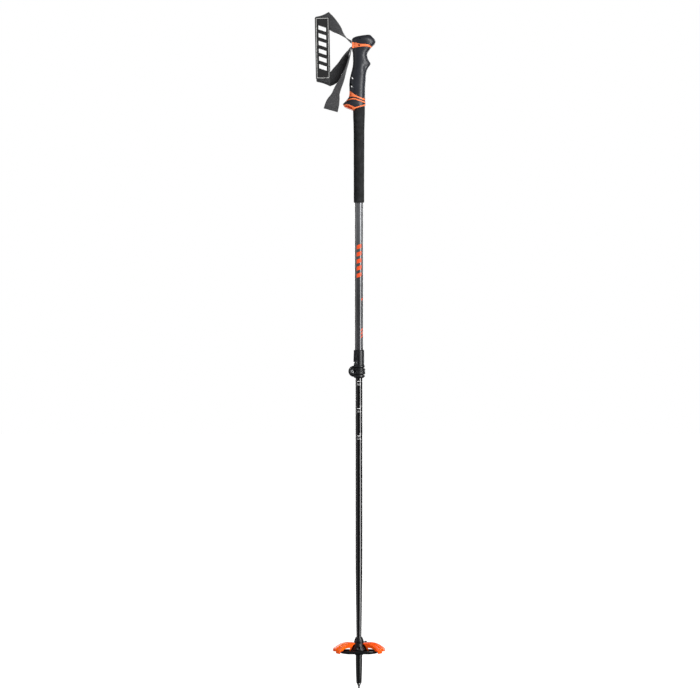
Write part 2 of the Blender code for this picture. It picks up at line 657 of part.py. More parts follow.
def spline(points, steps):
    """Catmull-Rom through rows of numbers, ends included."""
    rows = [np.array(p, float) for p in points]
    rows = [2 * rows[0] - rows[1]] + rows + [2 * rows[-1] - rows[-2]]
    out = []
    for k in range(1, len(rows) - 2):
        p0, p1, p2, p3 = rows[k - 1:k + 3]
        for i in range(steps):
            t = i / steps
            out.append(0.5 * (2 * p1 + (p2 - p0) * t + (2 * p0 - 5 * p1 + 4 * p2 - p3) * t * t
                              + (3 * p1 - p0 - 3 * p2 + p3) * t ** 3))
    out.append(rows[-2])
    return out


def ribbon(name, stations, thickness):
    """Sweeps a flat strip through (x, y, z, side x, side y, side z, width) rows."""
    places = [Vector(row[:3]) for row in stations]
    sides = [Vector(row[3:6]).normalized() for row in stations]
    rings = []
    for i, place in enumerate(places):
        ahead = places[min(i + 1, len(places) - 1)]
        behind = places[max(i - 1, 0)]
        along = (ahead - behind).normalized()
        side = (sides[i] - along * sides[i].dot(along)).normalized()
        out = along.cross(side)
        half = stations[i][6] / 2.0
        thick = thickness / 2.0
        rings.append([tuple(place - side * half - out * thick), tuple(place + side * half - out * thick),
                      tuple(place + side * half + out * thick), tuple(place - side * half + out * thick)])
    return loft(name, rings)


def fold(start, axis_degrees, heading_degrees, radius, width, steps=10):
    """Half a turn of strip round a line in the XZ plane, from the -Y layer to the +Y layer."""
    axis = Vector((math.cos(math.radians(axis_degrees)), 0, math.sin(math.radians(axis_degrees))))
    heading = Vector((math.cos(math.radians(heading_degrees)), 0, math.sin(math.radians(heading_degrees))))
    along = heading.dot(axis)
    across = heading - axis * along
    reach = across.length
    across.normalize()
    front = Vector((0, -1, 0))
    rows = []
    for i in range(steps + 1):
        turn = math.pi * i / steps
        spread = front * math.cos(turn) + across * math.sin(turn)
        advance = radius * turn * along / reach
        centre = Vector(start) + Vector((0, radius, 0)) + axis * advance
        place = centre + spread * radius
        run = across * math.cos(turn) + Vector((0, 1, 0)) * math.sin(turn)
        side = axis * reach - run * along
        rows.append([*place, *side, width])
    return rows


PAD_TOP = (-67.8, 1229.0)
PAD_BOTTOM = (-65.9, 1118.0)
FRONT_Y = -6.0


def build_strap():
    lower_fold = fold((-65.7, FRONT_Y, 1117.0), -18.7, -90.0, 6.0, WEB_WIDE)
    lower_start = [[-66.2, FRONT_Y, 1132.0, 1, 0, 0, WEB_WIDE], [-66.0, FRONT_Y, 1124.5, 1, 0, 0, WEB_WIDE]]
    lower_rest = [
        [-49.0, 6.2, 1119.4, 0.79, 0.0, -0.61, 23.0],
        [-40.0, 6.6, 1131.8, 0.78, 0.06, -0.60, 19.5],
        [-31.0, 6.0, 1144.8, 0.70, 0.30, -0.55, 16.5],
        [-24.6, 4.2, 1158.2, 0.50, 0.68, -0.42, WEB_NARROW],
        [-19.4, 1.9, 1168.8, 0.18, 0.96, -0.16, WEB_NARROW],
        [-15.4, 0.0, 1175.0, 0.0, 1.0, 0.0, WEB_NARROW],
    ]
    rows = spline(lower_start + lower_fold[:-1:2] + [lower_fold[-1]] + lower_rest, 3)
    ribbon("strap_web_lower", rows, WEB_T)

    upper_fold = fold((-67.8, FRONT_Y, 1229.4), 20.3, 90.0, 4.5, WEB_WIDE)
    upper_start = [[-67.6, FRONT_Y, 1214.5, 1, 0, 0, WEB_WIDE], [-67.7, FRONT_Y, 1222.0, 1, 0, 0, WEB_WIDE]]
    upper_rest = [
        [-55.6, 3.4, 1224.4, 0.76, 0.0, 0.65, 24.5],
        [-47.2, 3.8, 1216.4, 0.76, 0.10, 0.64, 21.5],
        [-39.2, 3.6, 1208.8, 0.70, 0.45, 0.56, 18.0],
        [-32.6, 2.6, 1201.9, 0.42, 0.84, 0.30, 15.5],
        [-21.2, 0.6, 1191.4, 0.0, 1.0, 0.0, WEB_NARROW],
        [*STRAP_AXIS, -0.12, 0.98, -0.10, WEB_NARROW],
    ]
    rows = spline(upper_start + upper_fold[:-1:2] + [upper_fold[-1]] + upper_rest, 3)
    ribbon("strap_web_upper", rows, WEB_T)

    pad = []
    lining = []
    for i in range(13):
        t = i / 12
        x = PAD_TOP[0] + (PAD_BOTTOM[0] - PAD_TOP[0]) * t
        z = PAD_TOP[1] + (PAD_BOTTOM[1] - PAD_TOP[1]) * t
        bow = 2.2 * math.sin(math.pi * t)
        pad.append([x, FRONT_Y - WEB_T / 2 - GAP - PAD_T / 2 - bow, z, 1, 0, 0.02, PAD_W])
        if 2 <= i <= 10:
            lining.append([x, FRONT_Y - bow, z, 1, 0, 0.02, 24.0])
    ribbon("strap_pad", pad, PAD_T)
    ribbon("strap_pad_lining", lining, 1.2)

    tail = [
        [-14.6, 0.0, 1170.6, 0.0, 1.0, 0.0, WEB_NARROW],
        [-16.6, -0.9, 1163.2, 0.12, 0.99, 0.0, WEB_NARROW],
        [-21.2, -2.4, 1150.4, 0.42, 0.90, -0.10, WEB_NARROW],
        [-27.4, -3.6, 1134.6, 0.64, 0.75, -0.20, WEB_NARROW],
        [-33.0, -4.2, 1118.0, 0.70, 0.69, -0.22, WEB_NARROW],
        [-38.6, -4.6, 1103.0, 0.72, 0.66, -0.22, WEB_NARROW],
        [-42.6, -4.8, 1090.2, 0.76, 0.60, -0.22, 15.6],
    ]
    ribbon("strap_tail", spline(tail, 5), WEB_T)
    tab = [
        [-42.72, -4.82, 1089.75, 0.76, 0.60, -0.22, 16.0],
        [-44.4, -5.0, 1083.6, 0.86, 0.44, -0.24, 20.0],
        [-46.9, -5.3, 1077.0, 0.93, 0.24, -0.25, 24.0],
        [-49.6, -5.6, 1069.0, 0.95, 0.12, -0.26, 26.0],
        [-52.0, -5.8, 1060.2, 0.96, 0.06, -0.27, 26.6],
    ]
    ribbon("strap_tail_tab", spline(tab, 4), 2.0)

    upper_end = [[-13.25, 0, 1185.35, -0.12, 0.98, -0.10, WEB_NARROW],
                 [-11.6, 0, 1184.55, -0.05, 1, -0.04, WEB_NARROW],
                 [-9.0, 0, 1184.3, 0, 1, 0, WEB_NARROW], [-4.4, 0, 1184.3, 0, 1, 0, WEB_NARROW]]
    ribbon("strap_end_upper", spline(upper_end, 3), 1.4)
    lower_end = [[-13.5, 0, 1176.2, 0, 1, 0, WEB_NARROW], [-12.2, 0, 1176.4, 0, 1, 0, WEB_NARROW],
                 [-9.0, 0, 1176.4, 0, 1, 0, WEB_NARROW], [-4.4, 0, 1176.4, 0, 1, 0, WEB_NARROW]]
    ribbon("strap_end_lower", spline(lower_end, 3), 1.2)
    tail_end = [[-14.2, 0, 1172.2, 0, 1, 0, WEB_NARROW], [-13.3, 0, 1173.7, 0, 1, 0, WEB_NARROW],
                [-11.4, 0, 1174.5, 0, 1, 0, WEB_NARROW], [-4.4, 0, 1174.6, 0, 1, 0, WEB_NARROW]]
    ribbon("strap_end_tail", spline(tail_end, 3), 1.2)


# ---------------------------------------------------------------- finish

def paint_pieces():
    for name, (colour, roughness, metallic, pieces) in LOOKS.items():
        material = bpy.data.materials.new(name)
        material.use_nodes = True
        shader = material.node_tree.nodes["Principled BSDF"]
        shader.inputs["Base Color"].default_value = (*colour, 1.0)
        shader.inputs["Roughness"].default_value = roughness
        shader.inputs["Metallic"].default_value = metallic
        for piece in pieces:
            mesh = bpy.data.objects[piece].data
            mesh.materials.append(material)
            mesh.shade_smooth()
            mesh.set_sharp_from_angle(angle=SHARP_ANGLE)


def attach(obj, carrier):
    """Parents obj to carrier and leaves it where it is."""
    obj.parent = carrier
    obj.matrix_parent_inverse = carrier.matrix_world.inverted()


def hang_moving_groups():
    """Parents each moving piece to an empty that sits on its joint's axis."""
    for name, (place, carrier, pieces) in MOVING_GROUPS.items():
        empty = bpy.data.objects.new(name, None)
        bpy.context.scene.collection.objects.link(empty)
        empty.location = [c * MM for c in place]
        bpy.context.view_layer.update()
        if carrier:
            attach(empty, bpy.data.objects[carrier])
        for piece in pieces:
            attach(bpy.data.objects[piece], empty)


def main():
    clear_scene()
    build_grip()
    build_foam()
    build_shaft()
    build_clamp()
    build_basket()
    build_tip()
    build_strap()
    paint_pieces()
    hang_moving_groups()


main()
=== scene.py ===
"""Looks of an adjustable touring ski pole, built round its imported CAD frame.

Lengths are in millimetres in the CAD frame (tip on the ground at the origin, +Z up the shaft,
-X towards the strap) and become metres where a mesh is made.
"""

import json
import math

import bmesh
import bpy
import numpy as np
from mathutils import Matrix, Vector

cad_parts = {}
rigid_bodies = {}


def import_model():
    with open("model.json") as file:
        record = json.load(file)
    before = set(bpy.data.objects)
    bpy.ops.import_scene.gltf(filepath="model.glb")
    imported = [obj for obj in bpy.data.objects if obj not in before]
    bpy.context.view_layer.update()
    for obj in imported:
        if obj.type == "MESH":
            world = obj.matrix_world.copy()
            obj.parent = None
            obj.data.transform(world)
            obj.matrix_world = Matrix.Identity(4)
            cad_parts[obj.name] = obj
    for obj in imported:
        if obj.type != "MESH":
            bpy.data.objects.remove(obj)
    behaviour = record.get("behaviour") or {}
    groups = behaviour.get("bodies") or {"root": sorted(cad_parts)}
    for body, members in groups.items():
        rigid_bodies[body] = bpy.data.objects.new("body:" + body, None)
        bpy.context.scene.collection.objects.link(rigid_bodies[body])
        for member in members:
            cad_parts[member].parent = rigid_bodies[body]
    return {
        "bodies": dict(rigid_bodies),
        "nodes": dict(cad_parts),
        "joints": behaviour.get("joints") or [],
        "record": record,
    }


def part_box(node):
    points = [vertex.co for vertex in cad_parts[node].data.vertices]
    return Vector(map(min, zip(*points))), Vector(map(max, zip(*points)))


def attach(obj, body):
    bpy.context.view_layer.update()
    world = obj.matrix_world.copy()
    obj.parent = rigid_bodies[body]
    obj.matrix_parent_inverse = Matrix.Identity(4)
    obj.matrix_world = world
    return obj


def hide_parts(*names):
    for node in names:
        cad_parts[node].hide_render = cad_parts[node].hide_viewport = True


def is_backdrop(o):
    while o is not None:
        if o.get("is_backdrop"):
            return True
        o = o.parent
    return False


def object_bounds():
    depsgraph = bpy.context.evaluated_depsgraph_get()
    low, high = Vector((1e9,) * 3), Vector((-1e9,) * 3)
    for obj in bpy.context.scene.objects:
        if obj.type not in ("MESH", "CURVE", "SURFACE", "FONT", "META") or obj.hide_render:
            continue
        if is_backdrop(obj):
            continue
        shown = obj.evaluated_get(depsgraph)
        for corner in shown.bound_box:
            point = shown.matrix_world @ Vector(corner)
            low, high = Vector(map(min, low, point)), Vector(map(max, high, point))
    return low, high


MM = 0.001
SMOOTH_ANGLE = math.radians(38)
FINE_ROUND = 96
GAP = 0.3


# ================================================================ meshes

def add_object(name, mesh, material):
    obj = bpy.data.objects.new(name, mesh)
    bpy.context.scene.collection.objects.link(obj)
    if material:
        mesh.materials.append(material)
    return obj


def smooth(obj, angle=SMOOTH_ANGLE):
    obj.data.shade_smooth()
    obj.data.set_sharp_from_angle(angle=angle)


def build(name, verts, faces, material=None, angle=SMOOTH_ANGLE):
    mesh = bpy.data.meshes.new(name)
    mesh.from_pydata([tuple(float(c) * MM for c in v) for v in verts], [], faces)
    mesh.validate()
    obj = add_object(name, mesh, material)
    smooth(obj, angle)
    return obj


def signed_area(outline):
    following = outline[1:] + outline[:1]
    return sum(x0 * y1 - x1 * y0 for (x0, y0), (x1, y1) in zip(outline, following)) / 2.0


def corners(left, bottom, right, top):
    return [(left, bottom), (right, bottom), (right, top), (left, top)]


def rounded(outline, radius, steps=4):
    """A closed outline with each corner turned into a small curve. Corners at x = 0 stay."""
    out = []
    for i, corner in enumerate(outline):
        here = Vector(corner)
        back = Vector(outline[i - 1]) - here
        ahead = Vector(outline[(i + 1) % len(outline)]) - here
        reach = min(radius, 0.45 * back.length, 0.45 * ahead.length)
        if here.x == 0 or reach < 0.01 or back.angle(ahead) > math.radians(168):
            out.append(tuple(here))
            continue
        start = here + back.normalized() * reach
        end = here + ahead.normalized() * reach
        for k in range(steps + 1):
            t = k / steps
            out.append(tuple(start * (1 - t) ** 2 + here * (2 * t * (1 - t)) + end * t ** 2))
    return out


def turned(name, profile, material=None, edge=0.3, steps=FINE_ROUND, centre=(0.0, 0.0)):
    """Turns a closed loop of (radius, z) about a vertical line, with its corners rounded."""
    profile = rounded(profile, edge) if edge else list(profile)
    if signed_area(profile) < 0:
        profile = profile[::-1]
    verts = []
    rows = []
    for radius, z in profile:
        if radius == 0:
            rows.append([len(verts)] * steps)
            verts.append((centre[0], centre[1], z))
            continue
        rows.append(list(range(len(verts), len(verts) + steps)))
        for i in range(steps):
            turn = 2 * math.pi * i / steps
            verts.append((centre[0] + radius * math.cos(turn), centre[1] + radius * math.sin(turn), z))
    faces = []
    for low, high in zip(rows, rows[1:] + rows[:1]):
        for i in range(steps):
            j = (i + 1) % steps
            corner = [low[i], low[j], high[j], high[i]]
            face = [v for k, v in enumerate(corner) if v != corner[k - 1]]
            if len(face) > 2:
                faces.append(face)
    return build(name, verts, faces, material)


def loft_faces(rings, count):
    """Walls between equal rings of points and a cap at each end."""
    last = (rings - 1) * count
    faces = [tuple(range(count)), tuple(range(last + count - 1, last - 1, -1))]
    for start in range(0, last, count):
        for i in range(count):
            j = (i + 1) % count
            faces.append((start + j, start + i, start + count + i, start + count + j))
    return faces


def slab_faces(lines, count, base=0):
    """Two equal grids of points, one above the other, closed all round their edge."""
    half = lines * count
    faces = []
    for line in range(lines - 1):
        for i in range(count - 1):
            a = base + line * count + i
            b = a + count
            faces.append((a, a + 1, b + 1, b))
            faces.append((half + a, half + b, half + b + 1, half + a + 1))
        a = base + line * count
        b = a + count
        faces.append((a, b, half + b, half + a))
        faces.append((b + count - 1, b - 1, half + b - 1, half + b + count - 1))
    for i in range(count - 1):
        a = base + i
        b = base + half - count + i
        faces.append((a + 1, a, half + a, half + a + 1))
        faces.append((b, b + 1, half + b + 1, half + b))
    return faces


def rod(name, radius, bottom, top, steps=FINE_ROUND, centre=(0.0, 0.0)):
    return turned(name, corners(0, bottom, radius, top), None, 0, steps, centre)


def prism(name, outline, low, high, along, material=None):
    """A prism along Y from a loop of (x, z), or along Z from a loop of (x, y)."""
    if signed_area(outline) < 0:
        outline = outline[::-1]
    low, high = min(low, high), max(low, high)
    count = len(outline)
    if along == "y":
        verts = [(a, level, b) for level in (low, high) for a, b in outline]
        faces = [tuple(range(count)), tuple(range(2 * count - 1, count - 1, -1))]
    else:
        verts = [(a, b, level) for level in (low, high) for a, b in outline]
        faces = [tuple(range(count - 1, -1, -1)), tuple(range(count, 2 * count))]
    for i in range(count):
        j = (i + 1) % count
        side = (j, i, count + i, count + j) if along == "y" else (i, j, count + j, count + i)
        faces.append(side)
    return build(name, verts, faces, material)


def circle_steps(steps):
    return [(math.cos(2 * math.pi * i / steps), math.sin(2 * math.pi * i / steps)) for i in range(steps)]


def ellipse(x, z, half_x, half_z, lean=0.0, steps=48):
    points = []
    for c, s in circle_steps(steps):
        a = half_x * c
        b = half_z * s
        points.append((x + a * math.cos(lean) - b * math.sin(lean),
                       z + a * math.sin(lean) + b * math.cos(lean)))
    return points


def disc(centre, radius, steps=48):
    return ellipse(*centre, radius, radius, 0.0, steps)


def block(name, low, high):
    return prism(name, corners(low[0], low[2], high[0], high[2]), low[1], high[1], "y")


def bake_modifiers(obj):
    graph = bpy.context.evaluated_depsgraph_get()
    baked = bpy.data.meshes.new_from_object(obj.evaluated_get(graph))
    obj.modifiers.clear()
    obj.data = baked


def combine(obj, operation, tools):
    """Cuts the tools from obj, or joins them to it, and removes them."""
    for tool in tools:
        modifier = obj.modifiers.new("combine", "BOOLEAN")
        modifier.operation = operation
        modifier.solver = "EXACT"
        modifier.object = tool
    bake_modifiers(obj)
    for tool in tools:
        bpy.data.objects.remove(tool, do_unlink=True)


def carve(obj, *tools):
    combine(obj, "DIFFERENCE", tools)


def fuse(obj, *tools):
    combine(obj, "UNION", tools)


def soften(obj, width, segments=3, angle=35):
    """Rounds the sharp edges of a machined or moulded piece."""
    bevel = obj.modifiers.new("soft_edges", "BEVEL")
    bevel.width = width * MM
    bevel.segments = segments
    bevel.limit_method = "ANGLE"
    bevel.angle_limit = math.radians(angle)
    bevel.harden_normals = True
    bevel.use_clamp_overlap = True
    bake_modifiers(obj)
    smooth(obj, math.radians(50))


def place(obj, body, slot, *nodes):
    """The piece rides on the body and stands for the nodes. The slot is not used."""
    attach(obj, body)
    if nodes:
        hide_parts(*nodes)
    return obj


def spline(points, steps):
    """Catmull-Rom through rows of numbers, ends included."""
    rows = [np.array(p, float) for p in points]
    rows = [2 * rows[0] - rows[1]] + rows + [2 * rows[-1] - rows[-2]]
    out = []
    for k in range(1, len(rows) - 2):
        p0, p1, p2, p3 = rows[k - 1:k + 3]
        for i in range(steps):
            t = i / steps
            out.append(0.5 * (2 * p1 + (p2 - p0) * t + (2 * p0 - 5 * p1 + 4 * p2 - p3) * t * t
                              + (3 * p1 - p0 - 3 * p2 + p3) * t ** 3))
    out.append(rows[-2])
    return out


def ease(value, start, end):
    t = np.clip((value - start) / (end - start), 0.0, 1.0)
    return t * t * (3 - 2 * t)


# ================================================================ materials

def linear(red, green, blue):
    """A screen colour, 0 to 255, as linear values."""
    channels = []
    for value in (red, green, blue):
        value /= 255.0
        channels.append(value / 12.92 if value <= 0.04045 else ((value + 0.055) / 1.055) ** 2.4)
    return (*channels, 1.0)


def scaled(colour, share):
    return tuple(min(1.0, c * share) for c in colour[:3]) + (1.0,)


class Look:
    """A Principled material and short ways to add nodes to it."""

    def __init__(self, name, colour, roughness, metallic=0.0):
        self.material = bpy.data.materials.new(name)
        self.material.use_nodes = True
        self.material.diffuse_color = colour
        self.tree = self.material.node_tree
        self.shader = self.tree.nodes["Principled BSDF"]
        self.set("Base Color", colour)
        self.set("Roughness", roughness)
        self.set("Metallic", metallic)
        coordinates = self.tree.nodes.new("ShaderNodeTexCoord")
        mapping = self.tree.nodes.new("ShaderNodeMapping")
        mapping.inputs["Scale"].default_value = (1 / MM, 1 / MM, 1 / MM)
        self.tree.links.new(coordinates.outputs["Object"], mapping.inputs["Vector"])
        self.spot = mapping.outputs["Vector"]

    def set(self, socket, value):
        if isinstance(value, bpy.types.NodeSocket):
            self.tree.links.new(value, self.shader.inputs[socket])
        else:
            self.shader.inputs[socket].default_value = value

    def feed(self, socket, value):
        if isinstance(value, bpy.types.NodeSocket):
            self.tree.links.new(value, socket)
        else:
            socket.default_value = value

    def math(self, operation, *values):
        node = self.tree.nodes.new("ShaderNodeMath")
        node.operation = operation
        for socket, value in zip(node.inputs, values):
            self.feed(socket, value)
        return node.outputs[0]

    def axes(self, vector=None):
        node = self.tree.nodes.new("ShaderNodeSeparateXYZ")
        self.feed(node.inputs[0], vector or self.spot)
        return node.outputs

    def noise(self, scale, detail=2.0, vector=None):
        node = self.tree.nodes.new("ShaderNodeTexNoise")
        self.feed(node.inputs["Vector"], vector or self.spot)
        node.inputs["Scale"].default_value = scale
        node.inputs["Detail"].default_value = detail
        return node.outputs["Fac"]

    def band(self, value, low, high, soft=0.02):
        """1 where the value lies between low and high, 0 elsewhere."""
        rise = self.remap(value, low - soft, low + soft)
        fall = self.remap(value, high - soft, high + soft)
        return self.math("SUBTRACT", rise, fall)

    def remap(self, value, from_low, from_high, to_low=0.0, to_high=1.0):
        node = self.tree.nodes.new("ShaderNodeMapRange")
        node.clamp = True
        for name, number in (("From Min", from_low), ("From Max", from_high), ("To Min", to_low),
                             ("To Max", to_high)):
            node.inputs[name].default_value = number
        self.feed(node.inputs["Value"], value)
        return node.outputs["Result"]

    def mix(self, factor, first, second):
        node = self.tree.nodes.new("ShaderNodeMix")
        node.data_type = "RGBA"
        self.feed(node.inputs[0], factor)
        self.feed(node.inputs[6], first)
        self.feed(node.inputs[7], second)
        return node.outputs[2]

    def wave(self, value, period):
        """0 to 1 and back once in each period."""
        angle = self.math("MULTIPLY", value, 2 * math.pi / period)
        return self.math("MULTIPLY_ADD", self.math("SINE", angle), 0.5, 0.5)

    def tint(self, value, low, high, dark, light):
        self.set("Base Color", self.mix(self.remap(value, low, high), dark, light))

    def gloss(self, value, low, high):
        """Uneven roughness, from low to high with a noise."""
        self.set("Roughness", self.remap(value, 0.3, 0.7, low, high))

    def sheen(self, weight, roughness):
        self.set("Sheen Weight", weight)
        self.set("Sheen Roughness", roughness)

    def lacquer(self, roughness):
        """A full clear coat."""
        self.set("Coat Weight", 1.0)
        self.set("Coat Roughness", roughness)

    def bump(self, height, depth):
        """Adds relief of this depth in millimetres."""
        node = self.tree.nodes.new("ShaderNodeBump")
        node.inputs["Strength"].default_value = 1.0
        node.inputs["Distance"].default_value = depth * MM
        self.feed(node.inputs["Height"], height)
        self.set("Normal", node.outputs["Normal"])


def plastic(name, colour, roughness, grain=1.6, depth=0.02, spread=0.12):
    """Moulded plastic with a fine grain, slightly uneven gloss and colour."""
    look = Look(name, colour, roughness)
    fine = look.noise(grain, 4.0)
    broad = look.noise(0.08, 2.0)
    dark = scaled(colour, 1 - spread)
    light = scaled(colour, 1 + spread)
    look.tint(broad, 0.35, 0.65, dark, light)
    look.gloss(fine, roughness - 0.05, roughness + 0.06)
    look.bump(fine, depth)
    return look.material


def make_materials():
    return {
        "grip": plastic("grip_rubber", linear(36, 38, 44), 0.4, 2.2, 0.012, 0.10),
        "orange": plastic("accent_orange", linear(255, 128, 74), 0.45, 1.8, 0.01, 0.05),
        "inner": plastic("inner_plastic", linear(60, 60, 62), 0.6),
        "clamp": plastic("clamp_plastic", linear(26, 27, 29), 0.36, 1.3, 0.02, 0.10),
        "black": plastic("black_plastic", linear(17, 17, 20), 0.36, 1.5, 0.02, 0.12),
        "tip": plastic("tip_plastic", linear(14, 14, 15), 0.28, 1.0, 0.005, 0.10),
        "basket": basket_plastic(),
        "foam": foam(),
        "grey_tube": grey_tube(),
        "black_tube": black_tube(),
        # darker than the grip: painted shade inside the strap's mouth
        "mouth_painted_shade": mouth_painted_shade_plastic(),
        "steel": steel("bright_steel", linear(205, 206, 208), 0.22),
        # Near-black steel for the strap's cross pin: painted shade, for the shade in the pin's hole
        "pin_painted_shade_steel": steel("pin_steel_painted_shade", linear(30, 30, 32), 0.5),
        "carbide": steel("carbide", linear(120, 120, 124), 0.4),
        # The light colour is painted glints on the webbing's raised yarns
        "webbing": webbing("strap_webbing_painted_glints", linear(17, 17, 18), linear(108, 108, 111)),
        "hidden_web": lining_cloth("hidden_webbing", linear(30, 30, 31), linear(80, 80, 82)),
        "pad": pad_cloth(),
        "lining": lining_cloth("pad_lining", linear(28, 28, 30), linear(62, 62, 65)),
        "thread": thread("white_thread", linear(226, 226, 224)),
        "dark_thread": thread("dark_thread", linear(22, 22, 23)),
        "white_print": plastic("white_print", linear(232, 232, 232), 0.5, 3.0, 0.01, 0.03),
        "orange_print": plastic("orange_print", linear(232, 80, 28), 0.35, 3.0, 0.005, 0.04),
    }


def mouth_painted_shade_plastic():
    """Black plastic, darker than the grip, as painted shade inside the strap's mouth; orange where the
    collar runs into it.
    """
    look = Look("mouth_painted_shade_plastic", linear(26, 27, 31), 0.42)
    z = look.axes()[2]
    collar = look.band(z, 1174.1, 1184.9, 0.1)
    look.set("Base Color", look.mix(collar, linear(26, 27, 31), linear(255, 128, 74)))
    fine = look.noise(1.8, 4.0)
    look.gloss(fine, 0.37, 0.5)
    look.bump(fine, 0.01)
    return look.material


def basket_plastic():
    """Soft plastic that lets a little light through."""
    colour = linear(255, 86, 2)
    look = Look("basket_orange", colour, 0.42)
    look.set("Specular IOR Level", 0.2)
    broad = look.noise(0.05, 2.0)
    look.tint(broad, 0.35, 0.65, linear(254, 78, 1), linear(255, 104, 3))
    fine = look.noise(1.2, 3.0)
    look.gloss(fine, 0.36, 0.5)
    look.set("Subsurface Weight", 0.15)
    look.set("Subsurface Radius", (0.003, 0.001, 0.0004))
    look.set("Subsurface Scale", 1.0)
    look.bump(fine, 0.02)
    return look.material


def foam():
    """Closed-cell foam: deep black, with small pores."""
    look = Look("grip_foam", linear(20, 21, 22), 0.92)
    cells = look.tree.nodes.new("ShaderNodeTexVoronoi")
    cells.inputs["Scale"].default_value = 1.6
    look.feed(cells.inputs["Vector"], look.spot)
    pores = look.remap(cells.outputs["Distance"], 0.0, 0.5)
    worn = look.noise(0.12, 3.0)
    look.tint(worn, 0.4, 0.65, linear(16, 17, 18), linear(30, 31, 33))
    look.set("Roughness", look.remap(pores, 0.0, 1.0, 0.98, 0.85))
    look.bump(look.math("ADD", pores, look.noise(4.0, 3.0)), 0.05)
    return look.material


def round_the_tube(look, radius):
    """Distance round a tube's skin from its -Y side, in millimetres, towards +X."""
    x, y, _ = look.axes()
    angle = look.math("ARCTAN2", x, look.math("MULTIPLY", y, -1.0))
    return look.math("MULTIPLY", angle, radius)


def grey_tube():
    """Satin grey lacquer that darkens down the tube, with a twill pattern at its foot."""
    look = Look("grey_lacquer", linear(98, 99, 102), 0.34, 0.45)
    z = look.axes()[2]
    across = round_the_tube(look, 7.6)
    brushed = look.noise(1.0, 3.0, squeezed(look, (1.0, 1.0, 0.02)))
    grey = look.mix(look.remap(brushed, 0.35, 0.65), linear(92, 93, 96), linear(112, 113, 116))
    dark = linear(50, 50, 53)
    shade = look.mix(look.remap(z, 700.0, 860.0), dark, grey)
    lean_up = look.wave(look.math("ADD", across, z), 1.5)
    lean_down = look.wave(look.math("SUBTRACT", across, z), 1.5)
    twill = look.math("GREATER_THAN", lean_up, lean_down)
    woven = look.mix(twill, linear(30, 30, 32), linear(92, 92, 95))
    weave_share = look.remap(z, 655.0, 705.0, 1.0, 0.0)
    shade = look.mix(weave_share, shade, woven)
    hatch_line = look.wave(look.math("ADD", z, look.math("MULTIPLY", across, 0.6)), 2.4)
    hatch_zone = look.band(z, 672.0, 745.0, 18.0)
    hatch = look.math("MULTIPLY", look.remap(hatch_line, 0.9, 0.97), hatch_zone)
    shade = look.mix(look.math("MULTIPLY", hatch, 0.25), shade, linear(110, 110, 114))
    look.set("Base Color", shade)
    look.gloss(brushed, 0.28, 0.4)
    look.lacquer(0.14)
    look.bump(brushed, 0.004)
    return look.material


def squeezed(look, scale):
    mapping = look.tree.nodes.new("ShaderNodeMapping")
    mapping.inputs["Scale"].default_value = scale
    look.feed(mapping.inputs["Vector"], look.spot)
    return mapping.outputs["Vector"]


def black_tube():
    """Black anodised tube under clear lacquer, with faint draw lines along it."""
    look = Look("black_lacquer", linear(10, 10, 12), 0.22, 0.3)
    drawn = look.noise(1.4, 3.0, squeezed(look, (1.0, 1.0, 0.01)))
    look.tint(drawn, 0.35, 0.65, linear(5, 5, 7), linear(12, 12, 15))
    look.gloss(drawn, 0.17, 0.27)
    look.lacquer(0.08)
    look.bump(drawn, 0.004)
    return look.material


def steel(name, colour, roughness):
    look = Look(name, colour, roughness, 1.0)
    scratched = look.noise(2.0, 4.0)
    look.gloss(scratched, roughness - 0.06, roughness + 0.1)
    look.bump(scratched, 0.01)
    return look.material


def ribbon_axes(look):
    """Distance along a ribbon and across it, in millimetres."""
    layer = look.tree.nodes.new("ShaderNodeUVMap")
    layer.uv_map = "ribbon"
    along, across, _ = look.axes(layer.outputs["UV"])
    return along, across


def webbing(name, dark, light):
    """Polyester webbing: a herringbone of raised yarns between tight ribs along the edges. The raised yarns
    are painted much lighter than the black strap: a real weave with painted glints on it.
    """
    look = Look(name, dark, 0.85)
    along, across = ribbon_axes(look)
    zigzag = look.math("PINGPONG", look.math("ADD", across, 100.0), 3.1)
    twill = look.wave(look.math("ADD", along, zigzag), 1.7)
    ribs = look.wave(across, 0.95)
    yarn_and_glint = look.math("MULTIPLY", look.remap(twill, 0.3, 0.8), look.remap(ribs, 0.1, 0.9, 0.35, 1.0))
    fuzz = look.noise(0.9, 4.0)
    yarn_and_glint = look.math("MULTIPLY", yarn_and_glint, look.remap(fuzz, 0.35, 0.65, 0.45, 1.0))
    look.set("Base Color", look.mix(yarn_and_glint, dark, light))
    look.gloss(fuzz, 0.75, 0.92)
    look.sheen(0.25, 0.4)
    look.bump(yarn_and_glint, 0.12)
    return look.material


def pad_cloth():
    """Close-woven cloth over the pad."""
    look = Look("pad_cloth", linear(34, 34, 35), 0.88)
    along, across = ribbon_axes(look)
    warp = look.wave(across, 0.55)
    weft = look.wave(along, 0.55)
    weave = look.math("MULTIPLY", warp, weft)
    mottled = look.noise(0.5, 4.0)
    tone = look.math("MULTIPLY_ADD", weave, 0.6, look.math("MULTIPLY", mottled, 0.5))
    look.set("Base Color", look.mix(tone, linear(9, 9, 10), linear(35, 35, 36)))
    look.gloss(mottled, 0.8, 0.95)
    look.sheen(0.2, 0.5)
    look.bump(look.math("MULTIPLY_ADD", mottled, 0.6, weave), 0.08)
    return look.material


def lining_cloth(name, dark, light):
    """Brushed cloth, as against the wrist."""
    look = Look(name, dark, 0.95)
    nap = look.noise(1.8, 6.0)
    look.set("Base Color", look.mix(nap, dark, light))
    look.sheen(0.6, 0.6)
    look.bump(nap, 0.15)
    return look.material


def thread(name, colour):
    look = Look(name, colour, 0.7)
    twist = look.noise(3.0, 2.0)
    dark = scaled(colour, 0.72)
    look.tint(twist, 0.3, 0.7, dark, colour)
    look.set("Sheen Weight", 0.3)
    look.bump(twist, 0.05)
    return look.material


# ================================================================ grip

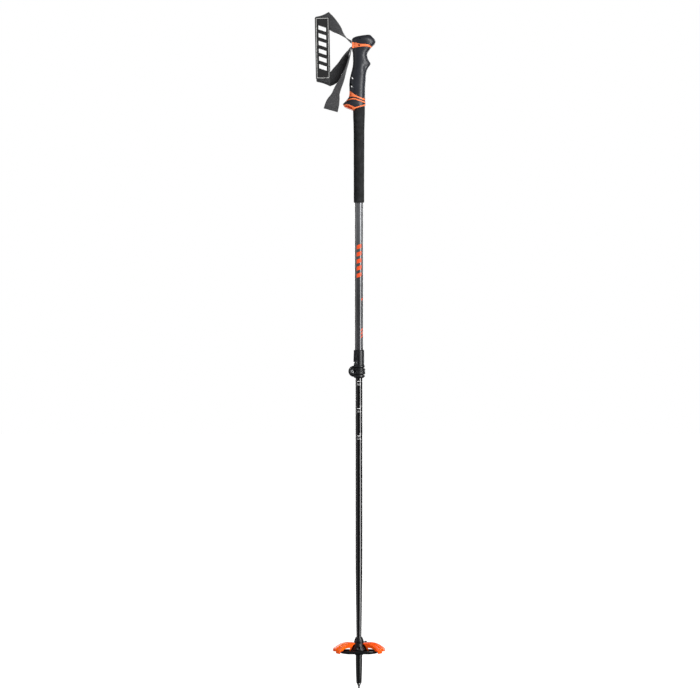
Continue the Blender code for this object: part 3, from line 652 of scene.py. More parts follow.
# z, back x, front x, half width along Y, from the lip at the bottom to the crown
GRIP_SECTIONS = [
    (1059.0, -10.6, 11.6, 10.8),
    (1060.4, -12.6, 11.8, 12.0),
    (1063.2, -19.6, 12.1, 13.4),
    (1065.8, -25.8, 12.2, 14.6),
    (1069.0, -28.8, 12.1, 15.6),
    (1072.0, -29.4, 12.0, 15.8),
    (1074.5, -27.4, 11.9, 15.4),
    (1078.0, -23.8, 11.7, 14.9),
    (1082.0, -20.9, 11.5, 14.4),
    (1086.0, -18.7, 11.3, 14.1),
    (1092.0, -17.8, 11.3, 13.9),
    (1100.0, -17.8, 11.4, 13.8),
    (1108.0, -18.1, 11.8, 13.8),
    (1116.0, -17.4, 12.4, 13.8),
    (1124.5, -15.7, 12.9, 13.6),
    (1131.8, -13.8, 14.1, 13.4),
    (1137.8, -12.4, 16.5, 13.2),
    (1142.7, -11.5, 20.0, 13.0),
    (1146.1, -11.1, 21.4, 12.9),
    (1149.4, -11.0, 19.7, 12.8),
    (1154.8, -11.1, 16.6, 12.6),
    (1160.9, -11.3, 15.1, 12.4),
    (1165.8, -11.5, 15.9, 12.4),
    (1170.6, -11.9, 18.9, 12.7),
    (1174.5, -12.2, 22.0, 13.2),
    (1178.5, -12.6, 25.6, 13.8),
    (1182.3, -12.9, 29.2, 14.3),
    (1186.6, -13.1, 30.4, 14.6),
    (1190.4, -13.1, 28.9, 14.3),
    (1192.6, -11.9, 27.2, 13.5),
    (1194.5, -9.2, 25.2, 12.4),
    (1196.2, -4.2, 23.7, 10.8),
    (1197.5, 2.6, 22.4, 8.6),
    (1198.6, 9.8, 21.0, 5.8),
    (1199.2, 15.4, 19.6, 2.6),
]
# Side-view parting lines between the moulded layers, as (x, z)
COLLAR_TOP = [(-16, 1185.1), (-11.7, 1184.8), (-6.6, 1184.1), (0.4, 1182.0), (3.9, 1181.4), (10.2, 1181.3),
              (17.2, 1180.5), (21.4, 1178.7), (23.8, 1177.2), (33, 1171.0)]
COLLAR_BOTTOM = [(-16, 1173.4), (-10.5, 1174.3), (-6.6, 1175.0), (0.4, 1176.2), (5.6, 1176.9),
                 (10.9, 1177.0), (16.1, 1176.8), (19.2, 1176.1), (21.4, 1174.9), (25, 1172.4), (33, 1166.4)]
BAND_TOP = [(-34, 1099.5), (-17.8, 1095.9), (-14.8, 1094.6), (-9.4, 1089.9), (-6, 1087.6), (0, 1084.6),
            (6, 1082.7), (11.7, 1081.4), (16, 1080.6)]
BAND_BOTTOM = [(-34, 1084.2), (-18.8, 1084.7), (-12.1, 1085.0), (-6, 1084.0), (0, 1081.9), (6, 1079.8),
               (11.7, 1078.4), (16, 1077.6)]
STRIPE_TOP = [(-34, 1070.6), (-25.3, 1077.0), (-20.1, 1080.3), (-12.1, 1082.4), (-6, 1081.6), (0, 1079.4),
              (6, 1077.4), (11.7, 1075.9), (16, 1075.1)]
STRIPE_BOTTOM = [(-34, 1068.9), (-25.9, 1075.4), (-20.1, 1078.3), (-12.1, 1079.9), (-6, 1079.2),
                 (0, 1077.0), (6, 1074.9), (11.7, 1073.5), (16, 1072.7)]
RIM_TOP = [(-34, 1069.6), (-28.5, 1070.4), (-22.8, 1071.3), (-17.4, 1070.1), (-12, 1067.4), (-7.8, 1065.4),
           (-2, 1066.7), (5, 1069.0), (11.7, 1071.2), (16, 1072.3)]
RIM_BOTTOM = [(-34, 1050.0), (-10.8, 1050.0), (-10.7, 1059.6), (-10.0, 1060.8), (-6, 1063.2), (0, 1065.4),
              (5, 1067.0), (11.7, 1069.0), (16, 1070.0)]
# Front of the grip without its finger ridge, as (z, x)
PLAIN_FRONT = [(1124.5, 12.9), (1146.0, 14.0), (1160.9, 15.1)]
GRIP_TURNS = 144
SEAM = 0.04
GRIP_BORE_R = 9.5
FOAM_BORE_R = 7.9
CORNER = 0.88
# From the crown down: piece, CAD node, lower and upper parting lines, rows of faces, finish
GRIP_LAYERS = [
    ("handle_crown", "grip_head", COLLAR_TOP, None, 46, "grip"),
    ("handle_collar", "strap_collar", COLLAR_BOTTOM, COLLAR_TOP, 14, "orange"),
    ("handle_grip", "grip_body", BAND_TOP, COLLAR_BOTTOM, 110, "grip"),
    ("handle_band", "grip_band", BAND_BOTTOM, BAND_TOP, 18, "orange"),
    ("handle_mid_stripe", "grip_mid_stripe", STRIPE_TOP, BAND_BOTTOM, 8, "grip"),
    ("handle_low_stripe", "grip_low_stripe", STRIPE_BOTTOM, STRIPE_TOP, 8, "orange"),
    ("handle_skirt", "grip_skirt", RIM_TOP, STRIPE_BOTTOM, 16, "grip"),
    ("handle_rim", "grip_rim", RIM_BOTTOM, RIM_TOP, 16, "orange"),
]
SOLID_LAYERS = ("grip_head", "strap_collar")
LAYER_SLOTS = {"grip": "grip_plastic", "orange": "accent_orange"}
# Room at the back of the head for the strap's ends
POCKET_LOW = (-20, -7.9, 1168.6)
POCKET_HIGH = (-2.8, 7.9, 1187.4)
MOUTH_LOW = (-12.45, -8.6, 1168.7)
MOUTH_HIGH = (-9.0, 8.6, 1188.6)
PIN_R = 1.7
PIN_HOLE_R = 1.9
DIMPLE = (1.4, 1191.8)
DIMPLE_R = 1.55
# The slots' middles in side view, and their lengths
SLOTS = [(-12.9, 1121.8, 10.4), (-14.2, 1106.4, 9.2)]
SLOT_WIDTH = 3.2
SLOT_LEAN = math.radians(24)
FAR_SLOT_SHIFT = (1.8, -4.0)
BEYOND = 22


def grip_rings():
    """Fine rings of the grip's whole outside form, lowest first: (rings, turns, 3)."""
    sections = np.array(spline(GRIP_SECTIONS, 14))
    turns = np.linspace(0.0, 2 * math.pi, GRIP_TURNS, endpoint=False)
    cosine = np.cos(turns)
    sine = np.sin(turns)
    round_x = np.sign(cosine) * np.abs(cosine) ** CORNER
    round_y = np.sign(sine) * np.abs(sine) ** CORNER
    rings = []
    for z, back, front, half_width in sections:
        plain = front
        if PLAIN_FRONT[0][0] < z < PLAIN_FRONT[-1][0]:
            plain = min(front, float(np.interp(z, *zip(*PLAIN_FRONT))))
        narrow = 1.0 + 3.0 * (1.0 - float(ease(z, 1141.0, 1153.0)))
        ridge = (front - plain) * np.clip(cosine, 0.0, 1.0) ** narrow
        scoop = 1.1 * math.exp(-((z - 1138.5) / 5.0) ** 2) * np.exp(-((np.abs(sine) - 0.72) / 0.2) ** 2)
        scoop = scoop * (cosine > 0) * np.clip(cosine * 2.0, 0.0, 1.0)
        x = (back + plain) / 2 + (plain - back) / 2 * round_x + ridge - scoop * 0.4
        y = half_width * round_y - scoop * np.sign(sine)
        rings.append(np.stack([x, y, np.full(GRIP_TURNS, z)], axis=1))
    return np.array(rings)


def line_height(line, x):
    return np.interp(x, [p[0] for p in line], [p[1] for p in line])


def crossing(column, line, shift):
    """How far along a column of points it first rises past the line, as a whole and a share."""
    above = column[:, 2] - line_height(line, column[:, 0]) - shift
    over = np.nonzero(above >= 0)[0]
    if len(over) == 0:
        return float(len(column) - 1)
    if over[0] == 0:
        return 0.0
    i = int(over[0])
    return i - 1 + above[i - 1] / (above[i - 1] - above[i])


def layer_rows(rings, lower, upper, count):
    """Rows of one layer's skin between two parting lines, its edges turned in slightly."""
    turn_in = [(0.0, 0.34), (0.1, 0.13), (0.3, 0.0)]
    rows = np.zeros((count + 2 * len(turn_in), GRIP_TURNS, 3))
    middles = rings[:, :, 0].mean(axis=1)
    for t in range(GRIP_TURNS):
        column = rings[:, t, :]
        start = crossing(column, lower, SEAM / 2)
        end = crossing(column, upper, -SEAM / 2) if upper else float(len(column) - 1)
        end = max(end, start + 0.05)
        stations = np.unique(np.concatenate([[start], np.arange(math.ceil(start), end), [end]]))
        whole = np.arange(len(column))
        line = np.stack([np.interp(stations, whole, column[:, k]) for k in range(3)], axis=1)
        run = np.concatenate([[0.0], np.cumsum(np.linalg.norm(np.diff(line, axis=0), axis=1))])
        length = run[-1]
        edge = min(1.0, length / 1.5)
        first = [d * edge for d, _ in turn_in]
        middle = list(np.linspace(first[-1], length - first[-1], count + 2)[1:-1])
        last = [length - d for d in first[::-1]]
        depths = [i for _, i in turn_in] + [0.0] * count + [i for _, i in turn_in[::-1]]
        if upper is None:
            last = list(np.linspace(length - first[-1], length, len(turn_in) + 1)[1:])
            depths[-len(turn_in):] = [0.0] * len(turn_in)
        for r, (at, depth) in enumerate(zip(first + middle + last, depths)):
            point = np.array([np.interp(at, run, line[:, k]) for k in range(3)])
            middle_x = np.interp(point[2], rings[:, 0, 2], middles)
            inward = np.array([middle_x - point[0], -point[1], 0.0])
            size = np.linalg.norm(inward)
            rows[r, t] = point + inward / max(size, 1e-6) * depth
    return rows


def skin_solid(name, rows, cap_low, cap_high, material):
    """Closes a stack of rings. A cap is a list of inner rings, or [] where the skin meets its bore."""
    stack = [*cap_low, *rows, *cap_high]
    verts = [tuple(point) for ring in stack for point in ring]
    count = GRIP_TURNS
    faces = []
    last = len(stack) - 1
    pairs = [(r, r + 1) for r in range(last)]
    if len(cap_low) == 1:
        pairs.append((last, 0))
    for low, high in pairs:
        for i in range(count):
            j = (i + 1) % count
            faces.append((low * count + i, low * count + j, high * count + j, high * count + i))
    if len(cap_low) != 1:
        faces.append(tuple(range(count - 1, -1, -1)))
        faces.append(tuple(range(last * count, last * count + count)))
    return build(name, verts, faces, material)


def shrunk(ring, line, share):
    """The ring drawn in towards its middle, on the parting line's surface if there is one."""
    centre = ring.mean(axis=0)
    inner = centre + (ring - centre) * share
    if line is not None:
        inner[:, 2] = line_height(line, inner[:, 0])
    return inner


def grip_layer(name, rings, lower, upper, count, material, bore=True):
    rows = layer_rows(rings, lower, upper, count)
    if bore:
        turns = np.linspace(0.0, 2 * math.pi, GRIP_TURNS, endpoint=False)
        bore_x = GRIP_BORE_R * np.cos(turns)
        bore_y = GRIP_BORE_R * np.sin(turns)
        low = np.stack([bore_x, bore_y, np.maximum(line_height(lower, bore_x), 1059.0) + SEAM / 2], axis=1)
        high = np.stack([bore_x, bore_y, line_height(upper, bore_x) - SEAM / 2], axis=1)
        return skin_solid(name, rows, [low], [high], material)
    shares = (0.04, 0.35, 0.7, 0.92)
    cap_low = [shrunk(rows[0], lower, share) for share in shares]
    cap_high = [shrunk(rows[-1], upper, share) for share in shares[::-1]]
    return skin_solid(name, rows, cap_low, cap_high, material)


def leaf(x, z, length, width, lean):
    """A slot's outline, pointed at the top and round at the foot."""
    outline = []
    for side in (1, -1):
        for i in range(24):
            t = i / 24 if side == 1 else 1 - i / 24
            along = length * (t - 0.5)
            across = side * width / 2 * math.sin(math.pi * t ** 0.62) ** 0.8
            outline.append((x - along * math.sin(lean) + across * math.cos(lean),
                            z + along * math.cos(lean) + across * math.sin(lean)))
    return outline


def both_flanks(name, outline, depth_from):
    """A cutter for each side of the grip, from this far out to beyond the skin."""
    return [prism(f"{name}_{side}", outline, side * depth_from, side * BEYOND, "y") for side in (1, -1)]


def make_grip(mats):
    rings = grip_rings()
    layers = {node: grip_layer(name, rings, lower, upper, count, mats[finish], node not in SOLID_LAYERS)
              for name, node, lower, upper, count, finish in GRIP_LAYERS}
    head = layers["grip_head"]
    collar = layers["strap_collar"]
    body = layers["grip_body"]
    for piece in (head, collar, body):
        carve(piece, block("tool_pocket", POCKET_LOW, POCKET_HIGH))
    middle = node_centre("strap_pin")
    carve(collar, prism("tool_pin_bore", disc(middle, PIN_HOLE_R), -BEYOND, BEYOND, "y"))
    pin_ends = [corner.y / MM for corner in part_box("strap_pin")]
    # The pin is near-black: painted shade for its shaded hole
    pin = prism("strap_cross_pin", disc(middle, PIN_R), *pin_ends, "y", mats["pin_painted_shade_steel"])
    soften(pin, 0.3, 2)
    place(pin, "handle", "steel", "strap_pin")
    make_mouth(mats)
    carve(head, *both_flanks("tool_dimple", disc(DIMPLE, DIMPLE_R, 32), 11.0))
    for x, z, length in SLOTS:
        near = leaf(x, z, length, SLOT_WIDTH, SLOT_LEAN)
        far = leaf(x + FAR_SLOT_SHIFT[0], z + FAR_SLOT_SHIFT[1], length, SLOT_WIDTH, SLOT_LEAN)
        carve(body, prism("tool_slot", near, -BEYOND, 1, "y"))
        carve(body, prism("tool_slot", far, 0.5, BEYOND, "y"))
    mark = rounded([(-16.6, 1090.9), (-12.6, 1087.7), (-16.2, 1087.2)], 0.4)
    carve(layers["grip_band"], *both_flanks("tool_mark", mark, 6.2))
    hollow = ellipse(-18.3, 1065.7, 6.9, 1.9, math.radians(-21))
    carve(layers["grip_rim"], *both_flanks("tool_hollow", hollow, 3.0))
    for piece in (head, collar, body, layers["grip_band"], layers["grip_rim"]):
        smooth(piece)
    for _, node, _, _, _, finish in GRIP_LAYERS:
        place(layers[node], "handle", LAYER_SLOTS[finish], node)


def make_mouth(mats):
    """The moulded frame that the strap's ends come out of, with a way through for the wedge. Its dark
    plastic fills the mouth as painted shade.
    """
    low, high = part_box("strap_wedge")
    frame = block("handle_strap_mouth", MOUTH_LOW, MOUTH_HIGH)
    # Darker than the grip: painted shade inside the mouth
    frame.data.materials.append(mats["mouth_painted_shade"])
    carve(frame, block("tool_wedge_way", (-20, low.y / MM - GAP, low.z / MM - GAP),
                       (0, high.y / MM + GAP, high.z / MM + GAP)))
    soften(frame, 0.7, 3)
    place(frame, "handle", "grip_plastic")


def node_centre(name):
    """The middle of a CAD node seen from the side, as (x, z) in millimetres."""
    low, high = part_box(name)
    return (low.x + high.x) / 2 / MM, (low.z + high.z) / 2 / MM


def make_foam(mats):
    """The sleeve below the grip, faintly uneven, its top cut to the rim's line."""
    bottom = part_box("foam_sleeve")[0].z / MM
    profile = [(bottom, 8.7), (bottom + 0.3, 9.1), (bottom + 1.2, 9.5), (bottom + 3.0, 9.62), (940.0, 9.66),
               (985.0, 9.8), (1020.0, 9.95), (1034.0, 10.2), (1048.0, 10.7), (1060.0, 11.0), (1080.0, 11.1)]
    heights, radii = zip(*profile)
    turns = 96
    count = 170
    outer = []
    inner = []
    for i in range(turns):
        turn = 2 * math.pi * i / turns
        top = float(line_height(RIM_BOTTOM, max(10.7 * math.cos(turn), -10.65))) - 1.0
        column = []
        for k in range(count + 1):
            share = k / count
            z = bottom + (top - bottom) * share ** 1.15
            radius = float(np.interp(z, heights, radii))
            ripple = 0.05 * math.sin(z * 0.31 + 2.0 * math.cos(turn))
            ripple += 0.04 * math.sin(3 * turn + z * 0.045)
            if z > bottom + 3:
                radius += ripple
            column.append((radius * math.cos(turn), radius * math.sin(turn), z))
        outer.append(column)
        inner.append([(FOAM_BORE_R * math.cos(turn), FOAM_BORE_R * math.sin(turn), z)
                      for z in (bottom, top)])
    verts = [p for column in outer for p in column] + [p for pair in inner for p in pair]
    rows = count + 1
    offset = turns * rows
    faces = []
    for i in range(turns):
        j = (i + 1) % turns
        for k in range(count):
            faces.append((i * rows + k, j * rows + k, j * rows + k + 1, i * rows + k + 1))
        faces.append((i * rows + count, j * rows + count, offset + 2 * j + 1, offset + 2 * i + 1))
        faces.append((j * rows, i * rows, offset + 2 * i, offset + 2 * j))
        faces.append((offset + 2 * j, offset + 2 * i, offset + 2 * i + 1, offset + 2 * j + 1))
    sleeve = build("foam_grip_sleeve", verts, faces, mats["foam"], math.radians(60))
    place(sleeve, "handle", "foam", "foam_sleeve")


# ================================================================ shafts

UPPER_R = 7.6
LOWER_R = 6.5
PRINT_T = 0.05


def tube(name, outer, inner, bottom, top, material, edge=0.15):
    return turned(name, corners(inner, bottom, outer, top), material, edge)


def wrapped(name, outline, radius, thickness, material, cells=0.8):
    """A thin printed mark on a tube. The outline is a loop of (distance round from -Y, z)."""
    front = [(s, z) for s, z in outline]
    if signed_area(front) < 0:
        front = front[::-1]
    dense = []
    for (s0, z0), (s1, z1) in zip(front, front[1:] + front[:1]):
        parts = max(1, int(abs(s1 - s0) / cells))
        dense += [(s0 + (s1 - s0) * k / parts, z0 + (z1 - z0) * k / parts) for k in range(parts)]
    flat = prism(name, dense, 0.0, 1.0, "y", material)
    lows = min(s for s, _ in dense)
    highs = max(s for s, _ in dense)
    bend(flat, radius, thickness, lows, highs, cells)
    return flat


def bend(obj, radius, thickness, low, high, cells):
    """Slices a flat prism (y from 0 to 1) into upright strips and wraps it on a tube."""
    mesh = bmesh.new()
    mesh.from_mesh(obj.data)
    steps = max(1, int((high - low) / cells))
    for k in range(1, steps):
        at = (low + (high - low) * k / steps) * MM
        geometry = mesh.verts[:] + mesh.edges[:] + mesh.faces[:]
        bmesh.ops.bisect_plane(mesh, geom=geometry, plane_co=(at, 0, 0), plane_no=(1, 0, 0))
    for vert in mesh.verts:
        turn = vert.co.x / MM / radius
        out = radius + thickness * (1.0 - vert.co.y / MM)
        z = vert.co.z
        vert.co = (out * math.sin(turn) * MM, -out * math.cos(turn) * MM, z)
    mesh.to_mesh(obj.data)
    mesh.free()
    obj.data.update()
    smooth(obj, math.radians(30))


def slanted_bar(centre, middle_z, half_width, height, lean):
    bar = corners(-half_width, -height / 2, half_width, height / 2)
    return [(centre + x, middle_z + z + math.copysign(lean, x)) for x, z in bar]


def join_pieces(name, pieces):
    """Several meshes of one material as a single object."""
    target = pieces[0]
    with bpy.context.temp_override(active_object=target, selected_editable_objects=pieces,
                                   selected_objects=pieces, object=target):
        bpy.ops.object.join()
    target.name = name
    target.data.name = name
    return target


def make_upper_shaft(mats):
    """The grey tube with plain orange bars and flashes printed on it."""
    low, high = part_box("upper_shaft")
    shaft = tube("upper_tube", UPPER_R, 6.8, low.z / MM, high.z / MM, mats["grey_tube"])
    place(shaft, "handle", "shaft_grey", "upper_shaft")
    bars = [slanted_bar(0.0, 758.0 + 13.0 * k, 4.7, 7.4, 1.6) for k in range(5)]
    flashes = [slanted_bar(6.2, 646.0 + 6.0 * k, 2.6, 2.6, 2.4) for k in range(3)]
    flashes.append(slanted_bar(6.6, 714.0, 1.6, 3.4, 1.0))
    for name, outlines in (("shaft_print_bars", bars), ("shaft_print_flashes", flashes)):
        marks = [wrapped("mark", outline, UPPER_R, PRINT_T, mats["orange_print"]) for outline in outlines]
        place(join_pieces(name, marks), "handle", "accent_orange")


def make_lower_shaft(mats):
    low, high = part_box("lower_shaft")
    bottom = low.z / MM
    top = high.z / MM
    profile = [(3.8, bottom), (4.6, bottom), (4.6, 95.0), (5.2, 130.0), (5.75, 165.0), (6.2, 200.0),
               (LOWER_R, 238.0), (LOWER_R, top), (5.7, top), (5.7, 238.0), (4.95, 165.0), (3.8, 95.0)]
    shaft = turned("lower_tube", profile, mats["black_tube"], 0.1)
    place(shaft, "lower", "shaft_black", "lower_shaft")
    make_scale(mats)


SCALE_120_Z = 562.9
SCALE_STEP = 50.0


def make_scale(mats):
    """Centimetre marks every five, as fine print on the tube, those inside the upper tube too."""
    marks = []
    for k in range(-2, 6):
        z = SCALE_120_Z + SCALE_STEP * k
        for outline in (corners(-3.9, z - 0.5, 2.7, z + 0.5), corners(1.9, z + 0.5, 2.7, z + 5.6)):
            marks.append(wrapped("tick", outline, LOWER_R, PRINT_T, mats["white_print"]))
        marks.append(number(str(120 + 5 * k), z - 7.0, mats["white_print"]))
    place(join_pieces("length_scale", marks), "lower", "shaft_black")


def number(text, baseline, material):
    """A printed number on the lower tube's -Y side."""
    curve = bpy.data.curves.new("number", "FONT")
    curve.body = text
    curve.size = 5.2 * MM
    curve.space_character = 1.12
    curve.align_x = "CENTER"
    curve.extrude = 0.5 * MM
    curve.resolution_u = 4
    letters = bpy.data.objects.new("number", curve)
    bpy.context.scene.collection.objects.link(letters)
    graph = bpy.context.evaluated_depsgraph_get()
    mesh = bpy.data.meshes.new_from_object(letters.evaluated_get(graph))
    bpy.data.objects.remove(letters, do_unlink=True)
    for vert in mesh.vertices:
        x, y, z = vert.co
        vert.co = (x - 0.4 * MM, (0.5 - z / MM) * MM, y + baseline * MM)
    obj = add_object("number", mesh, None)
    mesh.materials.clear()
    mesh.materials.append(material)
    bend(obj, LOWER_R, PRINT_T, -7.0, 7.0, 0.8)
    return obj


# ================================================================ clamp

CLAMP_Z = 581.5
PIVOT = (-12.3, -8.6)
EAR_X = -9.1
EAR_R = 10.3
SCREW_SPOT = (PIVOT[0], CLAMP_Z)
SCREW_HOLE_R = 1.8
LEVER_HALF = 5.8


def swept(name, section, start, end, steps, taper=0.0):
    """Sweeps a closed loop of (radius, z) about the shaft between two bearings, in degrees.
    The last part narrows to 1 - taper of its height."""
    if signed_area(section) < 0:
        section = section[::-1]
    count = len(section)
    middle = sum(z for _, z in section) / count
    verts = []
    for i in range(steps + 1):
        share = i / steps
        turn = math.radians(start + (end - start) * share)
        squeeze = 1.0 - taper * float(ease(share, 0.82, 1.0)) ** 2
        for radius, z in section:
            height = middle + (z - middle) * squeeze
            verts.append((radius * math.cos(turn), radius * math.sin(turn), height))
    return build(name, verts, loft_faces(steps + 1, count))


def make_clamp(mats):
    make_clamp_body(mats)
    make_lever(mats)
    liner = tube("clamp_inner_sleeve", 7.6, 6.65, 570.5, 592.2, mats["inner"], 0.1)
    carve(liner, block("tool_liner", (-12, -0.9, 560), (0, 0.9, 600)))
    smooth(liner)
    place(liner, "handle", "core_plastic", "clamp_liner")
    make_screw(mats)


def make_clamp_body(mats):
    """The split housing with its ears, and the position mark printed on the near ear."""
    profile = [(0, 569.2), (8.4, 569.2), (9.2, 570.2), (9.3, 571.1), (10.6, 571.1), (10.9, 571.9),
               (10.9, 574.0), (10.4, 574.8), (8.8, 575.1), (8.8, 588.0), (10.3, 588.5), (10.8, 589.6),
               (10.8, 591.5), (10.1, 592.6), (9.5, 592.9), (9.65, 593.4), (9.65, 619.6), (8.8, 620.9),
               (0, 620.9)]
    body = turned("clamp_housing", profile, mats["clamp"], 0.35)
    ears = prism("tool_ears", disc((EAR_X, CLAMP_Z), EAR_R, 96), -3.3, 3.3, "y")
    flank = [(-9.3, 592.2), (-10.2, 599.0), (-9.5, 620.2), (-1.0, 620.2), (-1.0, 592.2)]
    flat = prism("tool_flank", flank, -8.9, 8.9, "y")
    fuse(body, ears, flat)
    carve(body, rod("tool_bore", 7.9, 570.2, 640), rod("tool_lip", 6.95, 560, 571))
    for side in (-1, 1):
        y0, y1 = sorted((side * 8.7, side * 13))
        carve(body, block("tool_facet", (-13, y0, 592.6), (-0.4, y1, 625)))
    carve(body, block("tool_slit", (-25, -0.7, 565), (-5, 0.7, 598.0)))
    notch = rounded(corners(-14, 595.9, -8.2, 598.8), 1.2)
    carve(body, prism("tool_notch", notch, -14, 14, "y"))
    carve(body, prism("tool_screw_bore", disc(SCREW_SPOT, SCREW_HOLE_R), -20, 20, "y"))
    carve(body, block("tool_seat", (-19, 2.9, CLAMP_Z - 3.2), (-9.0, 9, CLAMP_Z + 3.2)))
    soften(body, 0.22, 2)
    place(body, "handle", "clamp_plastic", "clamp_body")
    mark = [block("mark", (-16.4, -3.36, CLAMP_Z - 2.0), (-16.0, -3.28, CLAMP_Z + 2.0))]
    for way in (-1, 1):
        z = CLAMP_Z + way * 1.8
        mark.append(block("mark", (-16.4, -3.36, z - 0.2), (-15.3, -3.28, z + 0.2)))
    for piece in mark:
        piece.data.materials.append(mats["white_print"])
    place(join_pieces("clamp_position_mark", mark), "handle", "clamp_plastic")


def make_lever(mats):
    """A fork on the upright pin that becomes one arm round the front of the clamp."""
    low = CLAMP_Z - LEVER_HALF
    high = CLAMP_Z + LEVER_HALF
    section = rounded([(9.2, low), (11.0, low), (11.8, low + 1.5), (11.8, CLAMP_Z - 3.4),
                       (11.35, CLAMP_Z - 2.4), (11.35, CLAMP_Z + 2.4), (11.8, CLAMP_Z + 3.4),
                       (11.8, high - 1.5), (11.0, high), (9.2, high)], 0.7, 4)
    lever = swept("quick_lever", section, 214, 356, 72, 0.12)
    lever.data.materials.append(mats["clamp"])
    hub = turned("tool_hub", rounded(corners(0, low, 4.0, high), 0.9), None, 0, 64, PIVOT)
    link = prism("tool_link", [(PIVOT[0], PIVOT[1] - 4.0), (-8.2, -12.2), (-4.0, -11.3), (-2.5, -9.6),
                               (-6.6, -6.55), (-9.3, -5.2), (PIVOT[0], PIVOT[1] + 3.0)],
                 low + 0.3, high - 0.3, "z")
    fuse(lever, hub, link)
    fork = block("tool_fork", (-25, -16, CLAMP_Z - 2.8), (-5.2, 0, CLAMP_Z + 2.8))
    rising = [(-6, -2.8), (-3.0, -2.6), (0.6, -1.2), (1.8, 0.0)]
    throat = rising + [(x, -z) for x, z in rising[2::-1]]
    throat = rounded([(x, CLAMP_Z + z) for x, z in throat], 0.8)
    groove = prism("tool_throat", throat, -16, -10.6, "y")
    eye = rod("tool_eye", 2.9, low - 2, high + 2, 48, PIVOT)
    pad = prism("tool_pad", ellipse(5.2, CLAMP_Z, 2.0, 1.6), -16, -9.95, "y")
    carve(lever, fork, groove, eye, pad)
    soften(lever, 0.2, 2)
    place(lever, "lever", "clamp_plastic", "clamp_lever")
    outline = corners(0, CLAMP_Z - 5.4, 2.6, CLAMP_Z + 5.4)
    pin = turned("lever_pivot", outline, mats["steel"], 0.3, 64, PIVOT)
    carve(pin, prism("tool_cross", disc(SCREW_SPOT, SCREW_HOLE_R), -20, 0, "y"))
    smooth(pin)
    place(pin, "handle", "steel", "lever_pin")


def make_screw(mats):
    """The tension screw across the clamp, its nut, and the plate between ear and lever."""
    head = prism("clamp_screw", disc(SCREW_SPOT, 2.45, 64), -13.4, -11.5, "y", mats["steel"])
    fuse(head, prism("tool_shank", disc(SCREW_SPOT, 1.5), -12.0, 6.9, "y"))
    for half_x, half_z in ((0.35, 1.8), (1.8, 0.35)):
        carve(head, block("tool_cross", (PIVOT[0] - half_x, -15, CLAMP_Z - half_z),
                          (PIVOT[0] + half_x, -12.5, CLAMP_Z + half_z)))
    soften(head, 0.18, 2)
    place(head, "screw", "steel", "tension_screw")
    hexagon = ellipse(*SCREW_SPOT, 3.2, 3.2, math.radians(30), 6)
    nut = prism("clamp_nut", hexagon, 3.2, 6.0, "y", mats["steel"])
    carve(nut, prism("tool_nut_bore", disc(SCREW_SPOT, SCREW_HOLE_R), 0, 9, "y"))
    soften(nut, 0.15, 2)
    place(nut, "handle", "steel", "tension_nut")
    plate = block("clamp_thrust_plate", (PIVOT[0] - 3.6, -4.2, CLAMP_Z - 5.4),
                  (PIVOT[0] + 3.4, -3.6, CLAMP_Z + 5.4))
    plate.data.materials.append(mats["steel"])
    carve(plate, prism("tool_plate_bore", disc(SCREW_SPOT, SCREW_HOLE_R), -6, 0, "y"))
    soften(plate, 0.12, 2)
    place(plate, "handle", "steel", "thrust_plate")


# ================================================================ basket and tip

WING_TOP = [(9.4, 83.9), (14, 84.2), (20, 84.2), (27.7, 83.3), (34.8, 81.1), (41.5, 77.5), (46.2, 74.3),
            (47.7, 72.2), (48.2, 68.2)]
WING_HALF = 42.0
WING_T = 2.3
WING_THINNING = 0.4
WING_COLUMNS = 85
WING_ROWS = 44
# Under each wing, a rib along both sides and a leg down to the plate
WING_RIB = [(12.4, 82.2), (15.8, 77.4), (19.6, 74.7), (28.2, 74.6), (33.2, 73.4), (37.2, 72.2),
            (38.4, 69.8), (44.9, 69.0), (45.2, 65.8), (46.9, 65.6), (46.4, 70.0), (42.4, 73.9),
            (38, 76.8), (30, 80.3), (20, 82.2)]
WING_LEG = [(9.6, 82.6), (9.6, 81.0), (11.9, 76.8), (15.4, 69.9), (18.5, 69.9), (15.0, 74.7),
            (13.9, 78.0), (15.2, 82.3)]
RIB_BEARINGS = (38.2, 41.6)
LEG_HALF = 10.4
KNOB = (12.0, 6.5)
HUB_RIB = [(6.6, 70.2), (14.6, 70.2), (14.6, 71.6), (9.0, 82.4), (6.6, 82.4)]
HUB_RIB_BEARINGS = (0, 45, 90, 135, 180, 225, 315)
# The plate's outline from the bottom up: height, half length, half width
PLATE_RINGS = [(63.2, 25.0, 19.4), (64.0, 30.0, 23.8), (65.0, 33.4, 26.4), (66.2, 34.5, 27.3),
               (69.4, 34.7, 27.5)]


def wing_line(count):
    """The wing's skin from hub to rim: radius, height, and the outward normal's two parts."""
    curve = np.array(spline(WING_TOP, 6))
    steps = np.linalg.norm(np.diff(curve, axis=0), axis=1)
    run = np.concatenate([[0.0], np.cumsum(steps)])
    even = np.linspace(0.0, run[-1], count)
    line = np.stack([np.interp(even, run, curve[:, 0]), np.interp(even, run, curve[:, 1])], axis=1)
    ahead = np.gradient(line, axis=0)
    normal = unit(np.stack([-ahead[:, 1], ahead[:, 0]], axis=1))
    return even, line, normal


def wing_drop(share, radius, bearing):
    """How far the skin lies below its middle line. Side petals hang lower, with a bead along each."""
    away = abs(bearing)
    drop = 2.3 * share * float(ease(away, 24.0, 27.5)) + 1.2 * (bearing / WING_HALF) ** 2
    bead = 0.45 * math.exp(-((away - 11.0) / 1.6) ** 2) + 0.45 * math.exp(-((away - 34.5) / 1.8) ** 2)
    return drop - bead * float(ease(radius, 16.0, 24.0)) * (1.0 - float(ease(radius, 38.0, 45.0)))


